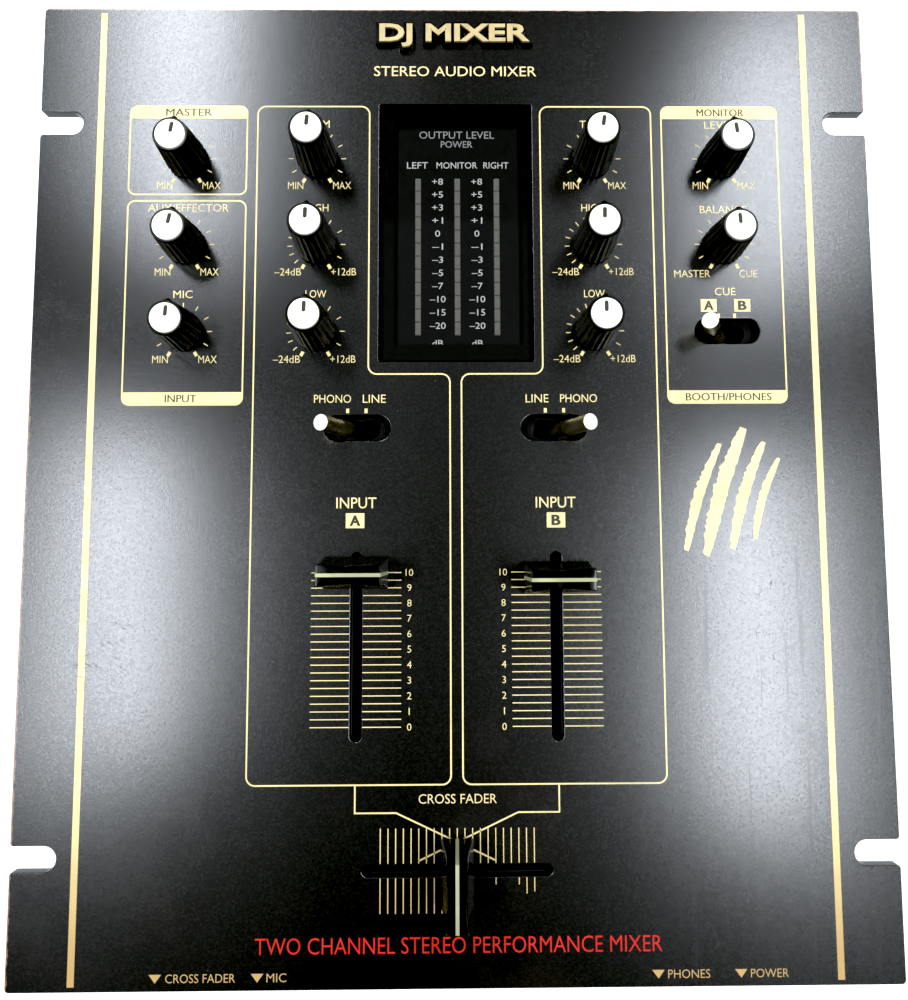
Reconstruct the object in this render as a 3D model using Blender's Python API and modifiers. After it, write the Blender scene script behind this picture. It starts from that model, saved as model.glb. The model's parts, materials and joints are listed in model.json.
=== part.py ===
"""Two-channel DJ mixer: a flat top plate with side ears over a sheet-metal chassis.

Frame: metres, +X to the right, +Y to the rear, +Z up.  The origin is on the table, under the
centre of the top plate.
"""

import math

import bmesh
import bpy
from mathutils import Matrix, Vector

MM = 0.001
GAP = 0.3 * MM  # clearance left between neighbouring pieces

# Top plate
PLATE_WIDTH = 260 * MM
PLATE_DEPTH = 298 * MM
PLATE_THICKNESS = 3 * MM
PLATE_TOP = 89 * MM
PLATE_UNDER = PLATE_TOP - PLATE_THICKNESS
PLATE_CORNER = 1.2 * MM
EAR_SLOT_WIDTH = 7.4 * MM
EAR_SLOT_END = 116.6 * MM
EAR_SLOT_REAR_Y = 111 * MM
EAR_SLOT_FRONT_Y = -112 * MM

# Chassis
FOOT_HEIGHT = 8 * MM
FOOT_RADIUS = 10.5 * MM
FOOT_X = 92 * MM
FOOT_Y = 120 * MM
SHEET = 1.2 * MM
CHASSIS_HALF_WIDTH = 111 * MM
CHASSIS_HALF_DEPTH = 142 * MM
CHASSIS_FLANGE = 8 * MM
WALL_TOP = PLATE_UNDER - GAP
TRAY_FLOOR = FOOT_HEIGHT + SHEET

# Display
LENS_CENTRE = (0.2 * MM, 76 * MM)
LENS_SIZE = (47.9 * MM, 82.6 * MM)
LENS_PROUD = 0.5 * MM
LENS_THICKNESS = 2.8 * MM
METER_X = (-11.8 * MM, 0.7 * MM, 13.2 * MM)
METER_SEGMENTS = 12
METER_PITCH = 4.27 * MM
METER_TOP_Y = 93.2 * MM
METER_BAR = (1.7 * MM, 3.5 * MM)

# Badge
BADGE_CENTRE = (0.0, 139 * MM)
BADGE_SIZE = (50 * MM, 9.6 * MM, 1.6 * MM)

# Rotary knobs: name, column, row, height over the plate
MIDDLE_COLUMN = 43.1 * MM
OUTER_COLUMN = 83.8 * MM
ROWS = (99.4 * MM, 71.7 * MM, 44.2 * MM)
TALL_KNOB = 17.6 * MM
SHORT_KNOB = 14.0 * MM
KNOBS = (
    ("trim_a", -MIDDLE_COLUMN, ROWS[0], TALL_KNOB),
    ("high_a", -MIDDLE_COLUMN, ROWS[1], TALL_KNOB),
    ("low_a", -MIDDLE_COLUMN, ROWS[2], TALL_KNOB),
    ("trim_b", MIDDLE_COLUMN, ROWS[0], TALL_KNOB),
    ("high_b", MIDDLE_COLUMN, ROWS[1], TALL_KNOB),
    ("low_b", MIDDLE_COLUMN, ROWS[2], TALL_KNOB),
    ("master_level", -OUTER_COLUMN, ROWS[0], SHORT_KNOB),
    ("aux_level", -OUTER_COLUMN, ROWS[1], SHORT_KNOB),
    ("mic_level", -OUTER_COLUMN, ROWS[2], SHORT_KNOB),
    ("monitor_level", OUTER_COLUMN, ROWS[0], SHORT_KNOB),
    ("monitor_balance", OUTER_COLUMN, ROWS[1], SHORT_KNOB),
)
KNOB_BASE_RADIUS = 6.4 * MM
KNOB_TOP_RADIUS = 5.2 * MM
KNOB_CLEARANCE = 0.8 * MM
KNOB_WALL = 1.2 * MM
KNOB_SEGMENTS = 20
INSERT_RADIUS = 4.5 * MM
INSERT_THICKNESS = 1.2 * MM
SHAFT_RADIUS = 3 * MM
SHAFT_DEPTH = 9 * MM  # reach of a potentiometer shaft below the plate's top
BUSHING_RADIUS = 4.6 * MM
PLATE_HOLE_RADIUS = 4.2 * MM

# Toggle levers: name, pivot x, pivot y, lean (+1 leans towards +X)
TOGGLES = (
    ("select_a", -30.0 * MM, 14.1 * MM, -1),
    ("select_b", 30.0 * MM, 14.1 * MM, 1),
    ("cue_select", 84.2 * MM, 44.1 * MM, -1),
)
TOGGLE_SLOT = (20.1 * MM, 7.9 * MM)
TOGGLE_LEAN = math.radians(24)
TOGGLE_PIVOT_Z = PLATE_TOP - 10 * MM
TOGGLE_LENGTH = 22.9 * MM
TOGGLE_RADIUS = 2.45 * MM
TOGGLE_BALL_RADIUS = 3.0 * MM
SHIELD_SLIT = (13.2 * MM, 6.0 * MM)

# Faders: each runs 45 mm
FADER_SLOT = (55.6 * MM, 3.3 * MM)
CHANNEL_FADER_X = 30 * MM
CHANNEL_SLOT_Y = -51.6 * MM
CROSS_SLOT_Y = -116.2 * MM
FADER_REST_A = -29.65 * MM
FADER_REST_B = -31.25 * MM
CAP_BASE = (9.7 * MM, 4.8 * MM)
CAP_TOP = (9.0 * MM, 3.2 * MM)
CAP_LIFT = 1.2 * MM
CAP_HEIGHT = 17.3 * MM
STEM = (1.2 * MM, 4.0 * MM)
STEM_TOP = PLATE_TOP + 12 * MM
HOUSING_LENGTH = 66 * MM
HOUSING_WIDTH = 11 * MM
HOUSING_HEIGHT = 10 * MM
CARRIAGE = (7.6 * MM, 8 * MM, 5 * MM)

# Front-face controls
FRONT_ROW_Z = 55 * MM
REVERSE_X = -87 * MM
MIC_JACK_X = -57.5 * MM
PHONES_JACK_X = 58 * MM
POWER_X = 82 * MM
PANEL_FRONT_Y = -CHASSIS_HALF_DEPTH - GAP - SHEET
JACK_BORE_RADIUS = 3.3 * MM
JACK_NUT_RADIUS = 6 * MM
BUTTON = (12 * MM, 7 * MM)
BUTTON_PROUD = 4 * MM
REVERSE_LEVER = (4 * MM, 3 * MM)
REVERSE_TRAVEL = 4 * MM

# Rear-face connectors
REAR_ROW_Z = 50 * MM
RCA_COLUMNS = 8
RCA_PITCH = (16 * MM, 18 * MM)
RCA_CENTRE_X = -14 * MM
RCA_PROUD = 5 * MM
INLET_X = 84 * MM
INLET_SIZE = (22 * MM, 14 * MM)
INLET_CAVITY = (16 * MM, 8.6 * MM, 12 * MM)
EARTH_X = -96 * MM

# Boards
BOARD = 1.6 * MM
CONTROL_BOARD_Z = 66 * MM
METER_BOARD_Z = 77.5 * MM
MAIN_BOARD_Z = 17 * MM
TRANSFORMER_CENTRE = (58 * MM, -84 * MM)

AXES = {
    "X": Matrix.Rotation(math.pi / 2, 4, "Y"),
    "Y": Matrix.Rotation(-math.pi / 2, 4, "X"),
    "Z": Matrix.Identity(4),
}


def clear_scene():
    for obj in list(bpy.data.objects):
        bpy.data.objects.remove(obj, do_unlink=True)


def new_collection(name):
    collection = bpy.data.collections.new(name)
    bpy.context.scene.collection.children.link(collection)
    return collection


def new_material(name, colour, roughness, metallic=0.0):
    material = bpy.data.materials.new(name)
    material.use_nodes = True
    shader = material.node_tree.nodes["Principled BSDF"]
    shader.inputs["Base Color"].default_value = (*colour, 1.0)
    shader.inputs["Roughness"].default_value = roughness
    shader.inputs["Metallic"].default_value = metallic
    return material


def add_box(bm, low, high):
    """A box between two corners."""
    low, high = Vector(low), Vector(high)
    placed = Matrix.Translation((low + high) / 2) @ Matrix.Diagonal((*(high - low), 1.0))
    bmesh.ops.create_cube(bm, size=1.0, matrix=placed)


def add_cylinder(bm, centre, radius, low, high, axis="Z", segments=16, far_radius=None):
    """A cylinder or cone whose ends are low and high along its axis, measured from centre."""
    placed = Matrix.Translation(centre) @ AXES[axis] @ Matrix.Translation((0, 0, (low + high) / 2))
    bmesh.ops.create_cone(
        bm,
        cap_ends=True,
        segments=segments,
        radius1=radius,
        radius2=radius if far_radius is None else far_radius,
        depth=high - low,
        matrix=placed,
    )


def add_stadium(bm, centre, length, width, low, high, along="X", segments=16):
    """A slot shape: a cylinder whose two halves are pulled apart along X or Y."""
    flat_radius = width / 2 / math.cos(math.pi / segments)
    turned = Matrix.Rotation(math.pi / segments, 4, "Z")
    made = bmesh.ops.create_cone(
        bm,
        cap_ends=True,
        segments=segments,
        radius1=flat_radius,
        radius2=flat_radius,
        depth=high - low,
        matrix=Matrix.Translation((0, 0, (low + high) / 2)) @ turned,
    )
    axis = "XY".index(along)
    pull = (length - width) / 2
    for vertex in made["verts"]:
        vertex.co[axis] += math.copysign(pull, vertex.co[axis])
        vertex.co.x += centre[0]
        vertex.co.y += centre[1]


def add_loft(bm, sections):
    """A closed solid through rectangles, each given as half width, half depth and height."""
    rings = []
    for half_x, half_y, z in sections:
        corners = ((-half_x, -half_y), (half_x, -half_y), (half_x, half_y), (-half_x, half_y))
        rings.append([bm.verts.new((x, y, z)) for x, y in corners])
    bm.faces.new(reversed(rings[0]))
    bm.faces.new(rings[-1])
    for lower, upper in zip(rings, rings[1:]):
        for i in range(4):
            j = (i + 1) % 4
            bm.faces.new((lower[i], lower[j], upper[j], upper[i]))


class Builder:
    """Makes the named objects, the cutters and the materials of the mixer."""

    def __init__(self):
        self.parts = new_collection("dj_mixer")
        self.cutters = new_collection("cutters")

    def place(self, name, mesh, material, location=(0, 0, 0)):
        obj = bpy.data.objects.new(name, mesh)
        obj.location = location
        self.parts.objects.link(obj)
        if not mesh.materials:
            mesh.materials.append(material)
        return obj

    def solid(self, name, bm, material, location=(0, 0, 0)):
        mesh = bpy.data.meshes.new(name)
        bm.to_mesh(mesh)
        bm.free()
        return self.place(name, mesh, material, location)

    def boolean(self, obj, bm, operation="DIFFERENCE"):
        """Cuts obj with the shapes in bm, or joins them to it; bm is in obj's own space."""
        mesh = bpy.data.meshes.new(f"{obj.name}_cutter")
        bm.to_mesh(mesh)
        bm.free()
        cutter = bpy.data.objects.new(mesh.name, mesh)
        cutter.location = obj.location
        cutter.hide_render = True
        cutter.display_type = "WIRE"
        self.cutters.objects.link(cutter)
        modifier = obj.modifiers.new(operation.lower(), "BOOLEAN")
        modifier.operation = operation
        modifier.object = cutter
        modifier.solver = "EXACT"
        modifier.use_self = operation == "UNION"

    def baked(self, obj):
        """The evaluated mesh of obj; obj itself is removed."""
        bpy.context.view_layer.update()
        evaluated = obj.evaluated_get(bpy.context.evaluated_depsgraph_get())
        mesh = bpy.data.meshes.new_from_object(evaluated)
        bpy.data.objects.remove(obj, do_unlink=True)
        return mesh

    def turned(self, name, profile, material, location=(0, 0, 0), segments=KNOB_SEGMENTS):
        """A solid of revolution; the profile runs from the axis, down the outside, to the axis."""
        bm = bmesh.new()
        points = [bm.verts.new((radius, 0, z)) for radius, z in profile]
        for upper, lower in zip(points, points[1:]):
            bm.edges.new((upper, lower))
        obj = self.solid(name, bm, material, location)
        screw = obj.modifiers.new("turn", "SCREW")
        screw.axis = "Z"
        screw.steps = segments
        screw.render_steps = segments
        screw.use_merge_vertices = True
        screw.merge_threshold = 0.00001
        screw.use_smooth_shade = True
        return obj


def make_top_plate(build, material):
    bm = bmesh.new()
    half_x, half_y = PLATE_WIDTH / 2, PLATE_DEPTH / 2
    add_box(bm, (-half_x, -half_y, PLATE_UNDER), (half_x, half_y, PLATE_TOP))
    upright = [e for e in bm.edges if abs(e.verts[0].co.z - e.verts[1].co.z) > PLATE_THICKNESS / 2]
    bmesh.ops.bevel(bm, geom=upright, offset=PLATE_CORNER, segments=2, profile=0.5, affect="EDGES")
    plate = build.solid("top_plate", bm, material)

    low, high = PLATE_UNDER - 2 * MM, PLATE_TOP + 2 * MM
    holes = bmesh.new()
    for side in (-1, 1):
        length = PLATE_WIDTH / 2 - EAR_SLOT_END + 6 * MM
        for y in (EAR_SLOT_REAR_Y, EAR_SLOT_FRONT_Y):
            centre = (side * (EAR_SLOT_END + length / 2), y)
            add_stadium(holes, centre, length, EAR_SLOT_WIDTH, low, high)
    lens_x, lens_y = LENS_CENTRE
    half_w, half_d = LENS_SIZE[0] / 2, LENS_SIZE[1] / 2
    add_box(holes, (lens_x - half_w, lens_y - half_d, low), (lens_x + half_w, lens_y + half_d, high))
    for _, x, y, _ in KNOBS:
        add_cylinder(holes, (x, y, 0), PLATE_HOLE_RADIUS, low, high, segments=12)
    for _, x, y, _ in TOGGLES:
        add_stadium(holes, (x, y), *TOGGLE_SLOT, low, high)
    for x in (-CHANNEL_FADER_X, CHANNEL_FADER_X):
        add_stadium(holes, (x, CHANNEL_SLOT_Y), *FADER_SLOT, low, high, along="Y", segments=8)
    add_stadium(holes, (0, CROSS_SLOT_Y), *FADER_SLOT, low, high, segments=8)
    build.boolean(plate, holes)


def make_chassis_tray(build, material):
    """Floor, side walls and inward top flanges, folded from one sheet, with vents in the floor."""
    outline = (
        (-CHASSIS_HALF_WIDTH + CHASSIS_FLANGE, WALL_TOP),
        (-CHASSIS_HALF_WIDTH, WALL_TOP),
        (-CHASSIS_HALF_WIDTH, FOOT_HEIGHT),
        (CHASSIS_HALF_WIDTH, FOOT_HEIGHT),
        (CHASSIS_HALF_WIDTH, WALL_TOP),
        (CHASSIS_HALF_WIDTH - CHASSIS_FLANGE, WALL_TOP),
    )
    bm = bmesh.new()
    front = [bm.verts.new((x, -CHASSIS_HALF_DEPTH, z)) for x, z in outline]
    rear = [bm.verts.new((x, CHASSIS_HALF_DEPTH, z)) for x, z in outline]
    for i in range(len(outline) - 1):
        bm.faces.new((front[i], front[i + 1], rear[i + 1], rear[i]))
    tray = build.solid("chassis_tray", bm, material)
    solidify = tray.modifiers.new("sheet", "SOLIDIFY")
    solidify.thickness = SHEET
    solidify.offset = 1.0
    solidify.use_even_offset = True

    vents = bmesh.new()
    for side in (-1, 1):
        for row in range(7):
            centre = (side * 45 * MM, (row - 3) * 12 * MM)
            low, high = FOOT_HEIGHT - 2 * MM, TRAY_FLOOR + 2 * MM
            add_stadium(vents, centre, 40 * MM, 3 * MM, low, high, segments=8)
    build.boolean(tray, vents)


def make_panel(build, name, material, side, holes):
    """A flat end panel; side is -1 for the front and 1 for the rear."""
    near = side * (CHASSIS_HALF_DEPTH + GAP)
    far = near + side * SHEET
    bm = bmesh.new()
    low = (-CHASSIS_HALF_WIDTH, min(near, far), FOOT_HEIGHT)
    high = (CHASSIS_HALF_WIDTH, max(near, far), WALL_TOP)
    add_box(bm, low, high)
    panel = build.solid(name, bm, material)
    build.boolean(panel, holes)


def front_holes():
    low, high = PANEL_FRONT_Y - 2 * MM, PANEL_FRONT_Y + SHEET + 2 * MM
    bm = bmesh.new()
    for x in (MIC_JACK_X, PHONES_JACK_X):
        add_cylinder(bm, (x, 0, FRONT_ROW_Z), 4.8 * MM, low, high, axis="Y")
    half_w, half_h = BUTTON[0] / 2 + 0.5 * MM, BUTTON[1] / 2 + 0.5 * MM
    add_box(
        bm,
        (POWER_X - half_w, low, FRONT_ROW_Z - half_h),
        (POWER_X + half_w, high, FRONT_ROW_Z + half_h),
    )
    half_w = (REVERSE_LEVER[0] + REVERSE_TRAVEL) / 2 + 0.6 * MM
    half_h = REVERSE_LEVER[1] / 2 + 0.5 * MM
    add_box(
        bm,
        (REVERSE_X - half_w, low, FRONT_ROW_Z - half_h),
        (REVERSE_X + half_w, high, FRONT_ROW_Z + half_h),
    )
    return bm


def rca_block_half_size():
    return (RCA_COLUMNS * RCA_PITCH[0] / 2 + 1 * MM, RCA_PITCH[1])


def rear_holes():
    low, high = CHASSIS_HALF_DEPTH - 2 * MM, CHASSIS_HALF_DEPTH + SHEET + 3 * MM
    bm = bmesh.new()
    half_x, half_z = rca_block_half_size()
    add_box(
        bm,
        (RCA_CENTRE_X - half_x - GAP, low, REAR_ROW_Z - half_z - GAP),
        (RCA_CENTRE_X + half_x + GAP, high, REAR_ROW_Z + half_z + GAP),
    )
    half_w, half_h = INLET_SIZE[0] / 2 + GAP, INLET_SIZE[1] / 2 + GAP
    add_box(
        bm,
        (INLET_X - half_w, low, REAR_ROW_Z - half_h),
        (INLET_X + half_w, high, REAR_ROW_Z + half_h),
    )
    add_cylinder(bm, (EARTH_X, 0, REAR_ROW_Z), 2.4 * MM, low, high, axis="Y", segments=12)
    return bm


def make_feet(build, material):
    """Turned rubber feet with a pocket for the screw head."""
    top = FOOT_HEIGHT - GAP
    profile = (
        (0, top),
        (FOOT_RADIUS - 0.5 * MM, top),
        (FOOT_RADIUS, top - 1 * MM),
        (FOOT_RADIUS - 1.5 * MM, 0),
        (4.2 * MM, 0),
        (4.2 * MM, 4 * MM),
        (0, 4 * MM),
    )
    for end, y in (("front", -FOOT_Y), ("rear", FOOT_Y)):
        for side, x in (("left", -FOOT_X), ("right", FOOT_X)):
            build.turned(f"foot_{end}_{side}", profile, material, (x, y, 0), segments=16)


def make_display(build, lens_material, board_material, bar_material):
    x, y = LENS_CENTRE
    half_w, half_d = LENS_SIZE[0] / 2 - GAP, LENS_SIZE[1] / 2 - GAP
    lens_top = PLATE_TOP + LENS_PROUD
    bm = bmesh.new()
    add_box(
        bm,
        (x - half_w, y - half_d, lens_top - LENS_THICKNESS),
        (x + half_w, y + half_d, lens_top),
    )
    build.solid("display_lens", bm, lens_material)

    bar_width, bar_length = METER_BAR
    base_top = METER_BOARD_Z + BOARD + GAP + 1.2 * MM
    bar_top = base_top + 4.2 * MM
    bars = bmesh.new()
    add_box(
        bars,
        (METER_X[0] - 3 * MM, METER_TOP_Y - METER_SEGMENTS * METER_PITCH, base_top - 1.2 * MM),
        (METER_X[2] + 3 * MM, METER_TOP_Y + METER_PITCH, base_top),
    )
    guide = build.solid("meter_light_guide", bars, bar_material)
    joined = bmesh.new()
    for column in METER_X:
        for segment in range(METER_SEGMENTS):
            bar_y = METER_TOP_Y - segment * METER_PITCH
            add_box(
                joined,
                (column - bar_width / 2, bar_y - bar_length / 2, base_top - 0.6 * MM),
                (column + bar_width / 2, bar_y + bar_length / 2, bar_top),
            )
    build.boolean(guide, joined, "UNION")

    board = bmesh.new()
    add_box(
        board,
        (x - half_w, y - half_d, METER_BOARD_Z),
        (x + half_w, y + half_d, METER_BOARD_Z + BOARD),
    )
    meter_board = build.solid("meter_board", board, board_material)
    posts = bmesh.new()
    for dx in (-1, 1):
        for dy in (-1, 1):
            corner = (x + dx * (half_w - 3 * MM), y + dy * (half_d - 3 * MM), 0)
            add_cylinder(
                posts, corner, 2 * MM, CONTROL_BOARD_Z + BOARD + GAP, METER_BOARD_Z + 0.5 * MM,
                segments=8,
            )
    build.boolean(meter_board, posts, "UNION")


def make_badge(build, material):
    x, y = BADGE_CENTRE
    half_w, half_d, height = BADGE_SIZE[0] / 2, BADGE_SIZE[1] / 2, BADGE_SIZE[2]
    bottom = PLATE_TOP + GAP
    bm = bmesh.new()
    add_loft(
        bm,
        (
            (half_w, half_d, bottom),
            (half_w, half_d, bottom + 0.6 * height),
            (half_w - 0.6 * MM, half_d - 0.6 * MM, bottom + height),
        ),
    )
    build.solid("badge", bm, material, (x, y, 0))


def knob_mesh(build, height, material):
    """A hollow tapered knob, its pointer rib and the shaft that it is pressed on; z 0 is the plate."""
    recess = height - INSERT_THICKNESS - GAP
    recess_radius = INSERT_RADIUS + GAP
    ceiling = recess - 1.5 * MM
    profile = (
        (0, recess),
        (recess_radius, recess),
        (recess_radius, height - 0.2 * MM),
        (KNOB_TOP_RADIUS - 0.15 * MM, height - 0.2 * MM),
        (KNOB_TOP_RADIUS, height - 0.6 * MM),
        (KNOB_BASE_RADIUS, KNOB_CLEARANCE),
        (KNOB_BASE_RADIUS - KNOB_WALL, KNOB_CLEARANCE),
        (KNOB_TOP_RADIUS - KNOB_WALL + 0.2 * MM, ceiling),
        (SHAFT_RADIUS, ceiling),
        (SHAFT_RADIUS, -SHAFT_DEPTH),
        (0, -SHAFT_DEPTH),
    )
    knob = build.turned("knob_shape", profile, material)
    rib = bmesh.new()
    lean = (KNOB_BASE_RADIUS - KNOB_TOP_RADIUS) / 2
    middle = (KNOB_BASE_RADIUS + KNOB_TOP_RADIUS) / 2
    add_box(
        rib,
        (-0.7 * MM, middle - lean - 0.3 * MM, KNOB_CLEARANCE + 0.3 * MM),
        (0.7 * MM, middle + lean + 0.2 * MM, height - 0.7 * MM),
    )
    build.boolean(knob, rib, "UNION")
    return build.baked(knob)


def insert_mesh(build, height, material):
    """The ivory top disc with its pointer slot towards +Y."""
    bm = bmesh.new()
    low = height - INSERT_THICKNESS
    add_cylinder(bm, (0, 0, 0), INSERT_RADIUS, low, height, segments=KNOB_SEGMENTS)
    insert = build.solid("insert_shape", bm, material)
    slot = bmesh.new()
    add_box(slot, (-0.5 * MM, 0.5 * MM, height - 0.5 * MM), (0.5 * MM, 3.7 * MM, height + 1 * MM))
    build.boolean(insert, slot)
    return build.baked(insert)


def make_knobs(build, body_material, insert_material):
    shapes = {
        height: (knob_mesh(build, height, body_material), insert_mesh(build, height, insert_material))
        for height in (TALL_KNOB, SHORT_KNOB)
    }
    for name, x, y, height in KNOBS:
        body, insert = shapes[height]
        build.place(f"knob_{name}", body, body_material, (x, y, PLATE_TOP))
        build.place(f"insert_{name}", insert, insert_material, (x, y, PLATE_TOP))


def make_toggles(build, lever_material, shield_material):
    """Each lever pivots about Y at its ball; it is stored leaning to one side."""
    for name, x, y, lean in TOGGLES:
        tip = TOGGLE_LENGTH
        profile = (
            (0, tip),
            (TOGGLE_RADIUS - 0.3 * MM, tip),
            (TOGGLE_RADIUS, tip - 0.3 * MM),
            (TOGGLE_RADIUS, 3 * MM),
            (TOGGLE_BALL_RADIUS, 0),
            (TOGGLE_RADIUS - 0.3 * MM, -2 * MM),
            (0, -TOGGLE_BALL_RADIUS),
        )
        pivot = (x, y, TOGGLE_PIVOT_Z)
        lever = build.turned(f"lever_{name}", profile, lever_material, pivot, segments=20)
        lever.rotation_euler = (0, lean * TOGGLE_LEAN, 0)

    top = WALL_TOP
    bottom = top - 0.6 * MM
    shields = (
        ("dust_shield_inputs", (-44 * MM, 7 * MM), (44 * MM, 21 * MM), TOGGLES[:2]),
        ("dust_shield_cue", (71 * MM, 37.5 * MM), (97.4 * MM, 50.7 * MM), TOGGLES[2:]),
    )
    for name, low, high, levers in shields:
        bm = bmesh.new()
        add_box(bm, (*low, bottom), (*high, top))
        shield = build.solid(name, bm, shield_material)
        slits = bmesh.new()
        for _, x, y, _ in levers:
            add_stadium(slits, (x, y), *SHIELD_SLIT, bottom - 1 * MM, top + 1 * MM, segments=12)
        build.boolean(shield, slits)


def fader_cap_mesh(build, material):
    """A cap long in X, with hollowed long faces and a pocket for the stem; z 0 is the plate."""
    waist = (CAP_HEIGHT + CAP_LIFT) / 2
    bm = bmesh.new()
    add_loft(
        bm,
        (
            (*CAP_BASE, CAP_LIFT),
            (CAP_BASE[0] - 0.2 * MM, CAP_TOP[1] + 0.7 * MM, CAP_LIFT + 0.3 * waist),
            (CAP_TOP[0] + 0.2 * MM, CAP_TOP[1] - 0.2 * MM, 1.2 * waist),
            (*CAP_TOP, CAP_HEIGHT),
        ),
    )
    cap = build.solid("cap_shape", bm, material)
    pocket = bmesh.new()
    half_x, half_y = STEM[0] / 2 + GAP, STEM[1] / 2 + GAP
    pocket_top = STEM_TOP - PLATE_TOP + GAP
    add_box(pocket, (-half_x, -half_y, 0), (half_x, half_y, pocket_top))
    build.boolean(cap, pocket)
    return build.baked(cap)


def carriage_mesh(build, material):
    """The sliding block and the flat lever that rises from it; z 0 is the plate's top."""
    block_top = PLATE_UNDER - PLATE_TOP - GAP - SHEET - GAP
    half_x, half_y, height = CARRIAGE[0] / 2, CARRIAGE[1] / 2, CARRIAGE[2]
    bm = bmesh.new()
    add_box(bm, (-half_x, -half_y, block_top - height), (half_x, half_y, block_top))
    carriage = build.solid("carriage_shape", bm, material)
    stem = bmesh.new()
    add_box(
        stem,
        (-STEM[0] / 2, -STEM[1] / 2, block_top - 1 * MM),
        (STEM[0] / 2, STEM[1] / 2, STEM_TOP - PLATE_TOP),
    )
    build.boolean(carriage, stem, "UNION")
    return build.baked(carriage)


def housing_mesh(build, material):
    """A fader's open-bottomed metal cover, long in Y, with a slot for the lever."""
    top = PLATE_UNDER - PLATE_TOP - GAP
    half_w, half_l = HOUSING_WIDTH / 2, HOUSING_LENGTH / 2
    bm = bmesh.new()
    add_box(bm, (-half_w, -half_l, top - HOUSING_HEIGHT), (half_w, half_l, top))
    housing = build.solid("housing_shape", bm, material)
    inside = bmesh.new()
    add_box(
        inside,
        (-half_w + SHEET, -half_l + SHEET, top - HOUSING_HEIGHT - 1 * MM),
        (half_w - SHEET, half_l - SHEET, top - SHEET),
    )
    build.boolean(housing, inside)
    slot = bmesh.new()
    half_slot = FADER_SLOT[0] / 2
    add_box(slot, (-1.5 * MM, -half_slot, top - 3 * MM), (1.5 * MM, half_slot, top + 1 * MM))
    build.boolean(housing, slot)
    return build.baked(housing)


def make_faders(build, cap_material, metal_material, housing_material):
    cap = fader_cap_mesh(build, cap_material)
    carriage = carriage_mesh(build, metal_material)
    housing = housing_mesh(build, housing_material)
    faders = (
        ("channel_a", (-CHANNEL_FADER_X, CHANNEL_SLOT_Y), (-CHANNEL_FADER_X, FADER_REST_A), 0),
        ("channel_b", (CHANNEL_FADER_X, CHANNEL_SLOT_Y), (CHANNEL_FADER_X, FADER_REST_B), 0),
        ("cross", (0, CROSS_SLOT_Y), (0, CROSS_SLOT_Y), math.pi / 2),
    )
    for name, slot, rest, turn in faders:
        for kind, mesh, material, place in (
            ("fader_cap", cap, cap_material, rest),
            ("fader_carriage", carriage, metal_material, rest),
            ("fader_housing", housing, housing_material, slot),
        ):
            obj = build.place(f"{kind}_{name}", mesh, material, (*place, PLATE_TOP))
            obj.rotation_euler = (0, 0, turn)


def make_front_jack(build, name, x, body_material):
    """A 6.35 mm socket: a square body behind the panel and a round nut in front of it."""
    behind = PANEL_FRONT_Y + SHEET + GAP
    bm = bmesh.new()
    add_box(
        bm,
        (x - 8 * MM, behind, FRONT_ROW_Z - 8 * MM),
        (x + 8 * MM, behind + 30 * MM, FRONT_ROW_Z + 8 * MM),
    )
    jack = build.solid(name, bm, body_material)
    neck = bmesh.new()
    front = PANEL_FRONT_Y - GAP
    centre = (x, 0, FRONT_ROW_Z)
    add_cylinder(neck, centre, 4.5 * MM, front - 1 * MM, behind + 1 * MM, axis="Y")
    build.boolean(jack, neck, "UNION")
    nut = bmesh.new()
    add_cylinder(nut, centre, JACK_NUT_RADIUS, front - 2.4 * MM, front, axis="Y", segments=24)
    build.boolean(jack, nut, "UNION")
    bore = bmesh.new()
    add_cylinder(bore, centre, JACK_BORE_RADIUS, front - 4 * MM, behind + 27 * MM, axis="Y")
    build.boolean(jack, bore)


def make_power_button(build, material):
    """A push button; its rest position is out, and it travels towards +Y."""
    half_w, half_h = BUTTON[0] / 2, BUTTON[1] / 2
    bm = bmesh.new()
    add_box(
        bm,
        (-half_w, -BUTTON_PROUD, -half_h),
        (half_w, 8 * MM, half_h),
    )
    front = [e for e in bm.edges if all(v.co.y < 0 for v in e.verts)]
    bmesh.ops.bevel(bm, geom=front, offset=0.5 * MM, segments=1, profile=0.5, affect="EDGES")
    build.solid("power_button", bm, material, (POWER_X, PANEL_FRONT_Y, FRONT_ROW_Z))


def make_reverse_switch(build, material):
    """A slide switch lever, stored at the left end of its travel."""
    half_w, half_h = REVERSE_LEVER[0] / 2, REVERSE_LEVER[1] / 2
    bm = bmesh.new()
    add_box(bm, (-half_w, -3 * MM, -half_h), (half_w, 6 * MM, half_h))
    place = (REVERSE_X - REVERSE_TRAVEL / 2, PANEL_FRONT_Y, FRONT_ROW_Z)
    build.solid("reverse_switch_lever", bm, material, place)


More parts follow.
